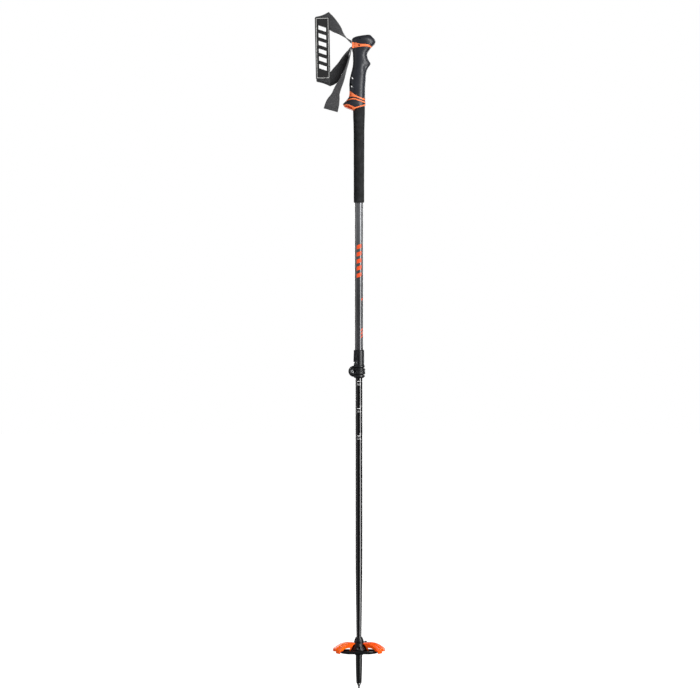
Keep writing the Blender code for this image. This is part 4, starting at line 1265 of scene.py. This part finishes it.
def wing_cut(bearing):
    """How much shorter the skin is than in the middle, most of all in a notch by each side petal."""
    away = abs(bearing)
    notch = float(ease(away, 23.0, 26.2)) * (1.0 - float(ease(away, 27.0, 28.2)))
    side = float(ease(away, 27.0, 28.2))
    return 1.6 * (min(away, 27.0) / 27.0) ** 2 * (1.0 - side) + 1.6 * notch + 0.3 * side


def make_wing(name, node, middle, mats):
    """One wing of the basket, centred on this bearing. The right one is pierced for the knob."""
    even, line, normal = wing_line(WING_ROWS)
    verts = []
    for lower in (0, 1):
        for c in range(WING_COLUMNS):
            bearing = -WING_HALF + 2 * WING_HALF * c / (WING_COLUMNS - 1)
            turn = math.radians(middle + bearing)
            kept = 1.0 - wing_cut(bearing) / even[-1]
            for r in range(WING_ROWS):
                reached = kept * r
                whole = min(int(reached), WING_ROWS - 2)
                part = reached - whole
                point = line[whole] * (1 - part) + line[whole + 1] * part
                out = normal[whole] * (1 - part) + normal[whole + 1] * part
                share = r / (WING_ROWS - 1)
                point = point - out * lower * (WING_T - WING_THINNING * share)
                radius = float(point[0])
                z = float(point[1]) - wing_drop(share, radius, bearing)
                verts.append((radius * math.cos(turn), radius * math.sin(turn), z))
    wing = build(name, verts, slab_faces(WING_COLUMNS, WING_ROWS), mats["basket"])
    way = 1 if middle == 0 else -1
    if way == 1:
        carve(wing, rod("tool_knob_well", 2.0, 82.9, 92, 48, KNOB))
    rib = rounded(WING_RIB, 1.0, 5)
    near, far = RIB_BEARINGS
    ribs = [swept("tool_rib", rib, middle - far, middle - near, 8),
            swept("tool_rib", rib, middle + near, middle + far, 8),
            prism("tool_leg", [(way * x, z) for x, z in WING_LEG], -LEG_HALF, LEG_HALF, "y")]
    wing = join_pieces(name, [wing] + ribs)
    remelt(wing, 0.42, 4)
    place(wing, "basket", "basket_orange", node)


def remelt(obj, voxel, passes):
    """One even skin over everything, with softly rounded moulded edges."""
    remesh = obj.modifiers.new("skin", "REMESH")
    remesh.mode = "VOXEL"
    remesh.voxel_size = voxel * MM
    remesh.use_smooth_shade = True
    relax = obj.modifiers.new("relax", "SMOOTH")
    relax.factor = 0.5
    relax.iterations = passes
    material = obj.data.materials[0]
    bake_modifiers(obj)
    if not obj.data.materials:
        obj.data.materials.append(material)
    obj.data.shade_smooth()


def stacked(name, rings, material=None):
    """Joins equal rings of points, lowest first, and caps both ends."""
    verts = [point for ring in rings for point in ring]
    faces = [face[::-1] for face in loft_faces(len(rings), len(rings[0]))]
    return build(name, verts, faces, material)


def oblong(z, half_x, half_y, steps=120):
    """A level ring between an oval and a box."""
    points = []
    for c, s in circle_steps(steps):
        x = half_x * math.copysign(abs(c) ** 0.62, c)
        y = half_y * math.copysign(abs(s) ** 0.62, s)
        points.append((x, y, z))
    return points


def make_basket(mats):
    """Lock cone, hub, two wings, the tray below them, foot ring and knob."""
    cone = [(4.95, 84.6), (9.1, 84.6), (9.4, 85.4), (6.8, 92.6), (6.2, 93.9), (4.95, 93.9)]
    place(turned("basket_top_cone", cone, mats["black"], 0.5), "basket", "basket_black", "basket_lock_cone")
    hub = [(6.25, 63.3), (8.0, 63.3), (8.0, 69.9), (14.9, 69.9), (14.9, 70.9), (11.8, 75.8), (10.0, 78.6),
           (8.8, 81.0), (8.9, 84.3), (6.25, 84.3)]
    core = turned("basket_core", hub, mats["black"], 0.5)
    for bearing in HUB_RIB_BEARINGS:
        rib = prism("tool_hub_rib", HUB_RIB, -0.6, 0.6, "y")
        rib.data.transform(Matrix.Rotation(math.radians(bearing), 4, "Z"))
        fuse(core, rib)
    carve(core, prism("tool_window", rounded(corners(-4.3, 71.6, 2.2, 76.6), 0.8), -20, -10.2, "y"))
    soften(core, 0.2, 2)
    place(core, "basket", "basket_black", "basket_hub")
    make_wing("basket_fin_left", "basket_wing_left", 180, mats)
    make_wing("basket_fin_right", "basket_wing_right", 0, mats)
    rings = [oblong(*row) for row in spline(PLATE_RINGS, 3)]
    plate = stacked("basket_tray", rings, mats["black"])
    carve(plate, stacked("tool_tray", [oblong(66.4, 31.0, 24.2), oblong(75.0, 32.0, 25.2)]),
          rod("tool_tray_bore", 8.3, 60, 75))
    for bearing in (45, 135, 225, 315):
        carve(plate, swept("tool_tray_hole", corners(13.5, 60, 24.5, 75), bearing - 26, bearing + 26, 24))
    soften(plate, 0.35, 3)
    place(plate, "basket", "basket_black", "basket_plate")
    ring = [(6.25, 61.1), (7.6, 61.1), (7.9, 61.6), (7.9, 62.9), (6.25, 62.9)]
    place(turned("basket_foot_ring", ring, mats["black"], 0.3), "basket", "basket_black", "basket_collar")
    knob = [(0, 83.3), (1.6, 83.3), (1.6, 84.2), (2.8, 84.2), (2.8, 85.2), (2.0, 86.2), (0, 86.4)]
    button = turned("basket_snap_knob", knob, mats["black"], 0.6, 64, KNOB)
    place(button, "basket", "basket_black", "basket_knob")


def make_tip(mats):
    """The plastic cone, its metal collar and the hard bit with a fluted rim."""
    sleeve = [(4.9, 29.7), (4.9, 84.2), (5.95, 84.2), (5.95, 55.0), (5.85, 40.0), (5.5, 26.0), (4.9, 9.9),
              (4.2, 8.9), (2.6, 8.9), (2.6, 20.0), (0, 20.0), (0, 29.7)]
    place(turned("tip_cone", sleeve, mats["tip"], 0.5), "lower", "tip_plastic", "tip_sleeve")
    ferrule = [(0, 8.6), (4.0, 8.6), (3.95, 7.5), (3.45, 7.1), (1.95, 3.9), (1.7, 3.7), (0, 3.7)]
    collar = turned("tip_metal_collar", ferrule, mats["steel"], 0.15)
    fuse(collar, rod("tool_stem", 2.3, 8.0, 19.7))
    smooth(collar)
    place(collar, "lower", "steel", "tip_ferrule")
    bit = turned("tip_bit", [(0, 0.35), (0.9, 0.3), (1.3, 0), (1.75, 0), (2.0, 0.5), (1.7, 3.4), (0, 3.4)],
                 mats["carbide"], 0.1, 64)
    for k in range(6):
        turn = math.radians(60 * k + 30)
        flute = rod("tool_flute", 0.42, -1, 2.0, 24, (2.05 * math.cos(turn), 2.05 * math.sin(turn)))
        carve(bit, flute)
    smooth(bit)
    place(bit, "lower", "carbide", "carbide_tip")


# ================================================================ strap

WEB_T = 1.5
TAB_T = 2.0
WEB_WIDE = 25.0
WEB_NARROW = 15.0
PAD_T = 3.4
PAD_W = 26.6
LINING_W = 24.0
PAD_TOP = (-67.8, 1229.9)
PAD_BOTTOM = (-65.6, 1118.0)
PAD_BOW = 2.2
FRONT_Y = -6.0
PAD_Y = FRONT_Y - WEB_T / 2 - GAP - PAD_T / 2
STITCH_INSET = 2.4
END_INSET = 1.5


class Ribbon:
    """A strip's line as arrays: places, directions along, across and out, width, and run in mm."""

    def __init__(self, stations):
        rows = np.array(stations, float)
        self.place = rows[:, :3]
        self.width = rows[:, 6]
        ahead = np.roll(self.place, -1, axis=0)
        behind = np.roll(self.place, 1, axis=0)
        ahead[-1] = self.place[-1]
        behind[0] = self.place[0]
        self.along = unit(ahead - behind)
        side = unit(rows[:, 3:6])
        side = side - self.along * np.sum(side * self.along, axis=1, keepdims=True)
        self.side = unit(side)
        self.out = np.cross(self.along, self.side)
        steps = np.linalg.norm(np.diff(self.place, axis=0), axis=1)
        self.run = np.concatenate([[0.0], np.cumsum(steps)])

    def at(self, run, across, lift):
        """A point and its three directions, by distance along, distance across and height."""
        place, along, side, out = [np.array([np.interp(run, self.run, rows[:, k]) for k in range(3)])
                                   for rows in (self.place, self.along, self.side, self.out)]
        return place + side * across + out * lift, along, side, out

    def width_at(self, run):
        return float(np.interp(run, self.run, self.width))


def unit(vectors):
    return vectors / np.linalg.norm(vectors, axis=-1, keepdims=True)


def strip_section(columns):
    """Half-width and half-thickness shares round a flat strip with soft edges."""
    flat = [(-1 + 2 * (i + 0.5) / columns) for i in range(columns)]
    top = [(v * 0.985, 1.0) for v in flat]
    bottom = [(-v * 0.985, -1.0) for v in flat]
    right = [(0.998, 0.55), (1.0, 0.0), (0.998, -0.55)]
    left = [(-0.998, -0.55), (-1.0, 0.0), (-0.998, 0.55)]
    return top + right + bottom + left


def ribbon_mesh(name, line, thickness, material, columns=16):
    """A closed strip that follows the line, with its lengths in a UV map for the weave."""
    section = strip_section(columns)
    verts = []
    spots = []
    for i in range(len(line.run)):
        half = line.width[i] / 2
        for across, lift in section:
            point = line.place[i] + line.side[i] * half * across + line.out[i] * lift * thickness / 2
            verts.append(tuple(point))
            spots.append((line.run[i], across * half))
    obj = build(name, verts, loft_faces(len(line.run), len(section)), material, math.radians(60))
    add_spots(obj, spots)
    return obj


def add_spots(obj, spots):
    layer = obj.data.uv_layers.new(name="ribbon")
    for loop in obj.data.loops:
        layer.data[loop.index].uv = spots[loop.vertex_index]


def fold(start, axis_degrees, heading_degrees, radius, width, steps=24):
    """Half a turn of strip round a line in the XZ plane, from the -Y layer to the +Y layer."""
    axis = Vector((math.cos(math.radians(axis_degrees)), 0, math.sin(math.radians(axis_degrees))))
    heading = Vector((math.cos(math.radians(heading_degrees)), 0, math.sin(math.radians(heading_degrees))))
    along = heading.dot(axis)
    across = heading - axis * along
    reach = across.length
    across.normalize()
    front = Vector((0, -1, 0))
    rows = []
    for i in range(steps + 1):
        turn = math.pi * i / steps
        spread = front * math.cos(turn) + across * math.sin(turn)
        advance = radius * turn * along / reach
        centre = Vector(start) + Vector((0, radius, 0)) + axis * advance
        point = centre + spread * radius
        heading_now = across * math.cos(turn) + Vector((0, 1, 0)) * math.sin(turn)
        side = axis * reach - heading_now * along
        rows.append([*point, *side, width])
    return rows


def flow(stations, step):
    """A smooth strip through unevenly spaced stations, in rows about a step apart."""
    rows = np.array(stations, float)
    gaps = np.linalg.norm(np.diff(rows[:, :3], axis=0), axis=1)
    slopes = np.diff(rows, axis=0) / gaps[:, None]
    inner = (slopes[:-1] * gaps[1:, None] + slopes[1:] * gaps[:-1, None]) / (gaps[:-1] + gaps[1:])[:, None]
    slopes = np.concatenate([slopes[:1], inner, slopes[-1:]])
    out = []
    for i, gap in enumerate(gaps):
        count = max(1, round(gap / step))
        for k in range(count):
            t = k / count
            bend = ((2 * t ** 3 - 3 * t ** 2 + 1) * rows[i] + (t ** 3 - 2 * t ** 2 + t) * gap * slopes[i]
                    + (3 * t ** 2 - 2 * t ** 3) * rows[i + 1] + (t ** 3 - t ** 2) * gap * slopes[i + 1])
            out.append(bend)
    out.append(rows[-1])
    return out


def strap_lines():
    """The strap's stretches, each as a Ribbon, by the CAD node that it stands for."""
    lower_fold = fold((-65.7, FRONT_Y, 1117.0), -18.7, -90.0, 6.0, WEB_WIDE)
    lower_start = [[-66.2, FRONT_Y, 1132.0, 1, 0, 0, WEB_WIDE], [-66.0, FRONT_Y, 1124.5, 1, 0, 0, WEB_WIDE]]
    lower_rest = [
        [-49.0, 6.2, 1119.4, 0.79, 0.0, -0.61, 23.0],
        [-40.0, 6.6, 1131.8, 0.78, 0.06, -0.60, 19.5],
        [-31.0, 6.0, 1144.8, 0.70, 0.30, -0.55, 16.5],
        [-24.6, 4.2, 1158.2, 0.50, 0.68, -0.42, WEB_NARROW],
        [-19.4, 1.9, 1168.8, 0.18, 0.96, -0.16, WEB_NARROW],
        [-15.4, 0.0, 1175.0, 0.0, 1.0, 0.0, WEB_NARROW],
        [-13.85, 0.0, 1176.0, 0.0, 1.0, 0.0, WEB_NARROW],
    ]
    upper_fold = fold((-67.8, FRONT_Y, 1229.4), 20.3, 90.0, 4.5, WEB_WIDE)
    upper_start = [[-67.6, FRONT_Y, 1214.5, 1, 0, 0, WEB_WIDE], [-67.7, FRONT_Y, 1222.0, 1, 0, 0, WEB_WIDE]]
    upper_rest = [
        [-55.6, 3.4, 1224.4, 0.76, 0.0, 0.65, 24.5],
        [-47.2, 3.8, 1216.4, 0.76, 0.10, 0.64, 21.5],
        [-39.2, 3.6, 1208.8, 0.70, 0.45, 0.56, 18.0],
        [-32.6, 2.6, 1201.9, 0.42, 0.84, 0.30, 15.5],
        [-21.2, 0.6, 1191.4, 0.0, 1.0, 0.0, WEB_NARROW],
        [-13.95, 0.0, 1185.85, -0.12, 0.98, -0.10, WEB_NARROW],
    ]
    tail = [
        [-14.25, 0.0, 1172.0, 0.0, 1.0, 0.0, WEB_NARROW],
        [-14.7, 0.0, 1170.4, 0.0, 1.0, 0.0, WEB_NARROW],
        [-16.1, -0.9, 1163.4, 0.03, 1.0, 0.0, WEB_NARROW],
        [-19.6, -2.2, 1150.4, 0.10, 0.99, -0.03, WEB_NARROW],
        [-24.6, -3.4, 1134.6, 0.20, 0.97, -0.06, WEB_NARROW],
        [-28.2, -3.9, 1124.6, 0.36, 0.92, -0.12, WEB_NARROW],
        [-31.6, -4.2, 1116.0, 0.52, 0.84, -0.17, WEB_NARROW],
        [-38.2, -4.6, 1102.0, 0.74, 0.64, -0.22, WEB_NARROW],
        [-42.4, -4.8, 1090.8, 0.84, 0.50, -0.24, 15.6],
        [-42.9, -4.9, 1089.0, 0.85, 0.48, -0.24, 15.6],
    ]
    tab = [
        [-42.6, -4.82, 1090.2, 0.84, 0.50, -0.24, 16.2],
        [-44.4, -5.0, 1083.6, 0.89, 0.38, -0.24, 20.0],
        [-46.9, -5.3, 1077.0, 0.93, 0.24, -0.25, 24.0],
        [-49.6, -5.6, 1069.0, 0.95, 0.12, -0.26, 26.0],
        [-52.0, -5.8, 1060.2, 0.96, 0.06, -0.27, 26.6],
    ]
    return {
        "strap_web_lower": Ribbon(flow(lower_start + lower_fold + lower_rest, 0.8)),
        "strap_web_upper": Ribbon(flow(upper_start + upper_fold + upper_rest, 0.8)),
        "strap_tail": Ribbon(flow(tail, 0.8)),
        "strap_tail_tab": Ribbon(flow(tab, 0.8)),
    }


def pad_row(t, y, width):
    """A station of a strip that bows like the pad, at a share of the way down it."""
    return [PAD_TOP[0] + (PAD_BOTTOM[0] - PAD_TOP[0]) * t, y - PAD_BOW * math.sin(math.pi * t),
            PAD_TOP[1] + (PAD_BOTTOM[1] - PAD_TOP[1]) * t, 1, 0, 0.02, width]


def pad_height(run, across, length):
    """Half the pad's thickness: crowned, thin at its bound edge, drawn in along the stitching."""
    half = PAD_W / 2
    side = max(0.0, 1.0 - (abs(across) / half) ** 6) ** 0.5
    ends = max(0.0, 1.0 - abs(2 * run / length - 1) ** 40) ** 0.5
    seam = PAD_W
    if END_INSET < run < length - END_INSET:
        seam = abs(abs(across) - (half - STITCH_INSET))
    if abs(across) < half - STITCH_INSET + 0.5:
        seam = min(seam, abs(run - END_INSET), abs(run - (length - END_INSET)))
    drawn = 0.42 * math.exp(-(seam / 0.75) ** 2)
    bound = 0.22 if half - abs(across) < STITCH_INSET - 0.4 else 0.0
    return (PAD_T / 2) * (0.25 + 0.75 * side * ends) - drawn - bound


def make_pad(mats):
    """The wrist pad with its cloth, stitching and print."""
    line = Ribbon([pad_row(i / 48, PAD_Y, PAD_W) for i in range(49)])
    length = line.run[-1]
    rows = 230
    columns = 56
    verts = []
    spots = []
    for r in range(rows + 1):
        run = length * r / rows
        for face in (1, -1):
            for c in range(columns + 1):
                across = face * (-PAD_W / 2 + PAD_W * c / columns)
                lift = face * pad_height(run, across, length)
                point, _, _, _ = line.at(run, across, lift)
                verts.append(tuple(point))
                spots.append((run, across))
    faces = loft_faces(rows + 1, 2 * (columns + 1))
    pad = build("wrist_pad", verts, faces, mats["pad"], math.radians(75))
    add_spots(pad, spots)
    place(pad, "strap", "pad_fabric", "strap_pad")
    make_pad_stitching(line, mats)
    make_pad_print(line, mats)


STITCH_PITCH = 2.9
STITCH_LENGTH = 2.6
STITCH_R = 0.46
STITCH_LIFT = 0.12
SEAM_PITCH = 1.9
SEAM_HALF = 0.8
SEAM_R = 0.28


def capsule(verts, faces, start, end, lift_axis, radius):
    """Adds one stitch: a short thread that rises from the cloth and dives back into it."""
    start = np.array(start)
    end = np.array(end)
    along = end - start
    side = np.cross(along, lift_axis)
    side = side / np.linalg.norm(side)
    rings = 7
    around = 8
    base = len(verts)
    for i in range(rings):
        t = i / (rings - 1)
        swell = math.sin(math.pi * (0.08 + 0.84 * t)) ** 0.3
        centre = start + along * t + lift_axis * (radius * 0.5 * (math.sin(math.pi * t) - 0.4))
        for k in range(around):
            turn = 2 * math.pi * k / around
            point = centre + (side * math.cos(turn) + lift_axis * math.sin(turn) * 0.55) * radius * swell
            verts.append(tuple(point))
    faces += [tuple(base + v for v in face[::-1]) for face in loft_faces(rings, around)]


def make_pad_stitching(line, mats):
    """One round of pale stitches just inside the pad's bound edge."""
    length = line.run[-1]
    half = PAD_W / 2 - STITCH_INSET
    verts = []
    faces = []
    turns = corners(END_INSET, -half, length - END_INSET, half)
    for (run0, across0), (run1, across1) in zip(turns, turns[1:] + turns[:1]):
        distance = math.hypot(run1 - run0, across1 - across0)
        count = max(1, round(distance / STITCH_PITCH))
        for i in range(count):
            ends = []
            for way in (-0.5, 0.5):
                share = (i + 0.5) / count + way * STITCH_LENGTH / distance
                run = run0 + (run1 - run0) * share
                across = across0 + (across1 - across0) * share
                depth = pad_height(run, across, length)
                point, _, _, out = line.at(run, across, depth + STITCH_LIFT)
                ends.append(point)
            capsule(verts, faces, ends[0], ends[1], out, STITCH_R)
    stitches = build("wrist_pad_stitching", verts, faces, mats["thread"], math.radians(80))
    place(stitches, "strap", "pad_fabric")


PRINT_BARS = 6
PRINT_PITCH = 14.2
PRINT_HALF_W = 6.9
PRINT_H = 7.4
PRINT_LEAN = 2.4


def make_pad_print(line, mats):
    """Plain slanted bars of raised print down the pad."""
    length = line.run[-1]
    verts = []
    faces = []
    columns = 14
    rows = 8
    for bar in range(PRINT_BARS):
        middle = length * 0.5 + (bar - (PRINT_BARS - 1) / 2) * PRINT_PITCH
        base = len(verts)
        for lift in (0.16, -0.1):
            for r in range(rows + 1):
                for c in range(columns + 1):
                    across = PRINT_HALF_W * (2 * c / columns - 1)
                    run = middle + PRINT_H * (r / rows - 0.5) + PRINT_LEAN * across / PRINT_HALF_W
                    edge = 0.12 if r in (0, rows) or c in (0, columns) else 0.0
                    height = pad_height(run, across, length) + (lift - edge if lift > 0 else lift)
                    point, _, _, _ = line.at(run, across, height)
                    verts.append(tuple(point))
        faces += slab_faces(rows + 1, columns + 1, base)
    bars = build("wrist_pad_print", verts, faces, mats["white_print"], math.radians(50))
    fix_normals(bars)
    place(bars, "strap", "pad_fabric")


def fix_normals(obj):
    mesh = bmesh.new()
    mesh.from_mesh(obj.data)
    bmesh.ops.recalc_face_normals(mesh, faces=mesh.faces)
    mesh.to_mesh(obj.data)
    mesh.free()


def cross_seam(name, line, runs, thickness, material, inset=1.2):
    """Rows of dark stitches across a strip, on both its faces."""
    verts = []
    faces = []
    for run in runs:
        half = line.width_at(run) / 2 - inset
        count = max(2, round(2 * half / SEAM_PITCH))
        for face in (1, -1):
            for i in range(count):
                across = -half + 2 * half * (i + 0.5) / count
                lift = face * (thickness / 2 + 0.05)
                first, _, _, out = line.at(run, across - SEAM_HALF, lift)
                second, _, _, _ = line.at(run, across + SEAM_HALF, lift)
                capsule(verts, faces, first, second, out * face, SEAM_R)
    return build(name, verts, faces, material, math.radians(80))


def make_strap(mats):
    lines = strap_lines()
    pieces = [
        ("strap_upper_webbing", "strap_web_upper", WEB_T, 16),
        ("strap_lower_webbing", "strap_web_lower", WEB_T, 16),
        ("strap_tail_webbing", "strap_tail", WEB_T, 12),
        ("strap_tail_end", "strap_tail_tab", TAB_T, 16),
    ]
    for name, node, thickness, columns in pieces:
        line = lines[node]
        piece = ribbon_mesh(name, line, thickness, mats["webbing"], columns)
        fix_normals(piece)
        place(piece, "strap", "webbing", node)
    upper = lines["strap_web_upper"]
    lower = lines["strap_web_lower"]
    tail = lines["strap_tail"]
    tab = lines["strap_tail_tab"]
    seams = [
        ("strap_seam_upper", upper, [upper.run[-1] * s for s in (0.60, 0.66, 0.72)], WEB_T),
        ("strap_seam_lower", lower, [lower.run[-1] * s for s in (0.62, 0.68)], WEB_T),
        ("strap_seam_tail", tail, [tail.run[-1] - 2.4], WEB_T),
        ("strap_seam_tab", tab, [2.2, 5.4], TAB_T),
    ]
    for name, line, runs, thickness in seams:
        place(cross_seam(name, line, runs, thickness, mats["dark_thread"]), "strap", "webbing")
    make_pad(mats)
    make_lining(mats)


def make_lining(mats):
    line = Ribbon([pad_row((2 + 8 * i / 32) / 12, FRONT_Y, LINING_W) for i in range(33)])
    lining = ribbon_mesh("wrist_pad_lining", line, 1.2, mats["lining"], 16)
    fix_normals(lining)
    place(lining, "strap", "pad_fabric", "strap_pad_lining")


# ================================================================ what stays inside

def make_hidden(nodes, mats):
    """Pieces that keep their CAD shape inside the pole, with their own materials."""
    looks = {"grip_core": "inner", "shaft_top_plug": "inner", "lower_guide_bush": "inner",
             "strap_wedge": "black", "strap_end_upper": "hidden_web",
             "strap_end_lower": "hidden_web", "strap_end_tail": "hidden_web"}
    for name, look in looks.items():
        obj = nodes[name]
        obj.data.materials.clear()
        obj.data.materials.append(mats[look])
        smooth(obj)


# ================================================================ stage

FLOOR_Z = -0.262
FRAME_WIDTH = 1.285
LENS = 180.0
SENSOR = 36.0
AIM = Vector((0, 0, 0.62))
WHITE = (1.0, 1.0, 1.0, 1.0)
# Strength of the surroundings: seen directly, as light on the pole, and taken off in reflections
SEEN_LEVEL = 1.0
AMBIENT_LEVEL = 0.2
MIRROR_DROP = -0.12
# Name, bearing, distance, height, size, power, seen in reflections
LIGHTS = [
    ("key_right", 50, 2.2, 0.95, (0.8, 2.6), 60, True),
    ("soft_left", -78, 2.4, 0.75, (2.2, 2.4), 10, True),
    ("side_fill", -60, 2.4, 0.9, (1.4, 2.0), 12, False),
    ("low_fill", -10, 2.6, 0.15, (2.0, 0.8), 14, False),
    ("top_right", 38, 2.0, 2.5, (0.8, 0.8), 20, True),
    ("back_left", -165, 2.4, 1.0, (0.7, 2.2), 20, True),
    ("back_right", 150, 2.4, 0.9, (0.4, 2.2), 16, True),
]


def make_camera(low, high):
    """Level with the pole's middle and square to its side, far off behind a long lens."""
    data = bpy.data.cameras.new("camera")
    data.lens = LENS
    data.sensor_width = SENSOR
    data.clip_start = 0.1
    data.clip_end = 100.0
    camera = bpy.data.objects.new("camera", data)
    bpy.context.scene.collection.objects.link(camera)
    distance = FRAME_WIDTH * LENS / SENSOR
    camera.location = (low + high) / 2 + Vector((0, -distance, 0))
    camera.rotation_euler = (math.radians(90), 0, 0)
    bpy.context.scene.camera = camera


def soft_light(name, bearing, distance, height, size, power, mirrored):
    """A rectangular light aimed at the pole. Bearing 0 is the camera's side, 90 the right."""
    data = bpy.data.lights.new(name, "AREA")
    data.shape = "RECTANGLE"
    data.size = size[0]
    data.size_y = size[1]
    data.energy = power
    light = bpy.data.objects.new(name, data)
    bpy.context.scene.collection.objects.link(light)
    turn = math.radians(bearing)
    light.location = (distance * math.sin(turn), -distance * math.cos(turn), height)
    light.rotation_euler = (AIM - light.location).to_track_quat("-Z", "Y").to_euler()
    light.visible_glossy = mirrored


def make_floor():
    bpy.ops.mesh.primitive_plane_add(size=60, location=(0, 0, FLOOR_Z))
    floor = bpy.context.object
    floor.name = "floor"
    look = Look("pale_floor", (0.9, 0.9, 0.9, 1.0), 0.9)
    grain = look.noise(0.01, 2.0)
    look.set("Base Color", look.mix(grain, (0.88, 0.88, 0.88, 1.0), (0.93, 0.93, 0.93, 1.0)))
    look.set("Emission Color", WHITE)
    look.set("Emission Strength", SEEN_LEVEL)
    floor.data.materials.append(look.material)
    floor.visible_diffuse = False
    floor.visible_glossy = False
    floor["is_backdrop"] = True


def make_world():
    """White where it is seen directly, dimmer as light, and a little dimmer again in reflections."""
    world = bpy.data.worlds.new("pale_world")
    world.use_nodes = True
    tree = world.node_tree
    background = tree.nodes["Background"]
    seen = tree.nodes.new("ShaderNodeLightPath")
    level = tree.nodes.new("ShaderNodeMapRange")
    level.inputs["To Min"].default_value = AMBIENT_LEVEL
    level.inputs["To Max"].default_value = SEEN_LEVEL
    mirrored = tree.nodes.new("ShaderNodeMath")
    mirrored.operation = "MULTIPLY_ADD"
    mirrored.inputs[1].default_value = MIRROR_DROP
    tree.links.new(seen.outputs["Is Camera Ray"], level.inputs["Value"])
    tree.links.new(seen.outputs["Is Glossy Ray"], mirrored.inputs[0])
    tree.links.new(level.outputs["Result"], mirrored.inputs[2])
    tree.links.new(mirrored.outputs["Value"], background.inputs["Strength"])
    background.inputs["Color"].default_value = WHITE
    bpy.context.scene.world = world


def make_stage():
    make_floor()
    make_world()
    bpy.context.scene.view_settings.view_transform = "Standard"
    for light in LIGHTS:
        soft_light(*light)


def main():
    for obj in list(bpy.data.objects):
        bpy.data.objects.remove(obj, do_unlink=True)
    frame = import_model()
    low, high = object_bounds()
    make_camera(low, high)
    make_stage()
    mats = make_materials()
    make_grip(mats)
    make_foam(mats)
    make_upper_shaft(mats)
    make_lower_shaft(mats)
    make_clamp(mats)
    make_basket(mats)
    make_tip(mats)
    make_strap(mats)
    make_hidden(frame["nodes"], mats)
    low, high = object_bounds()


main()
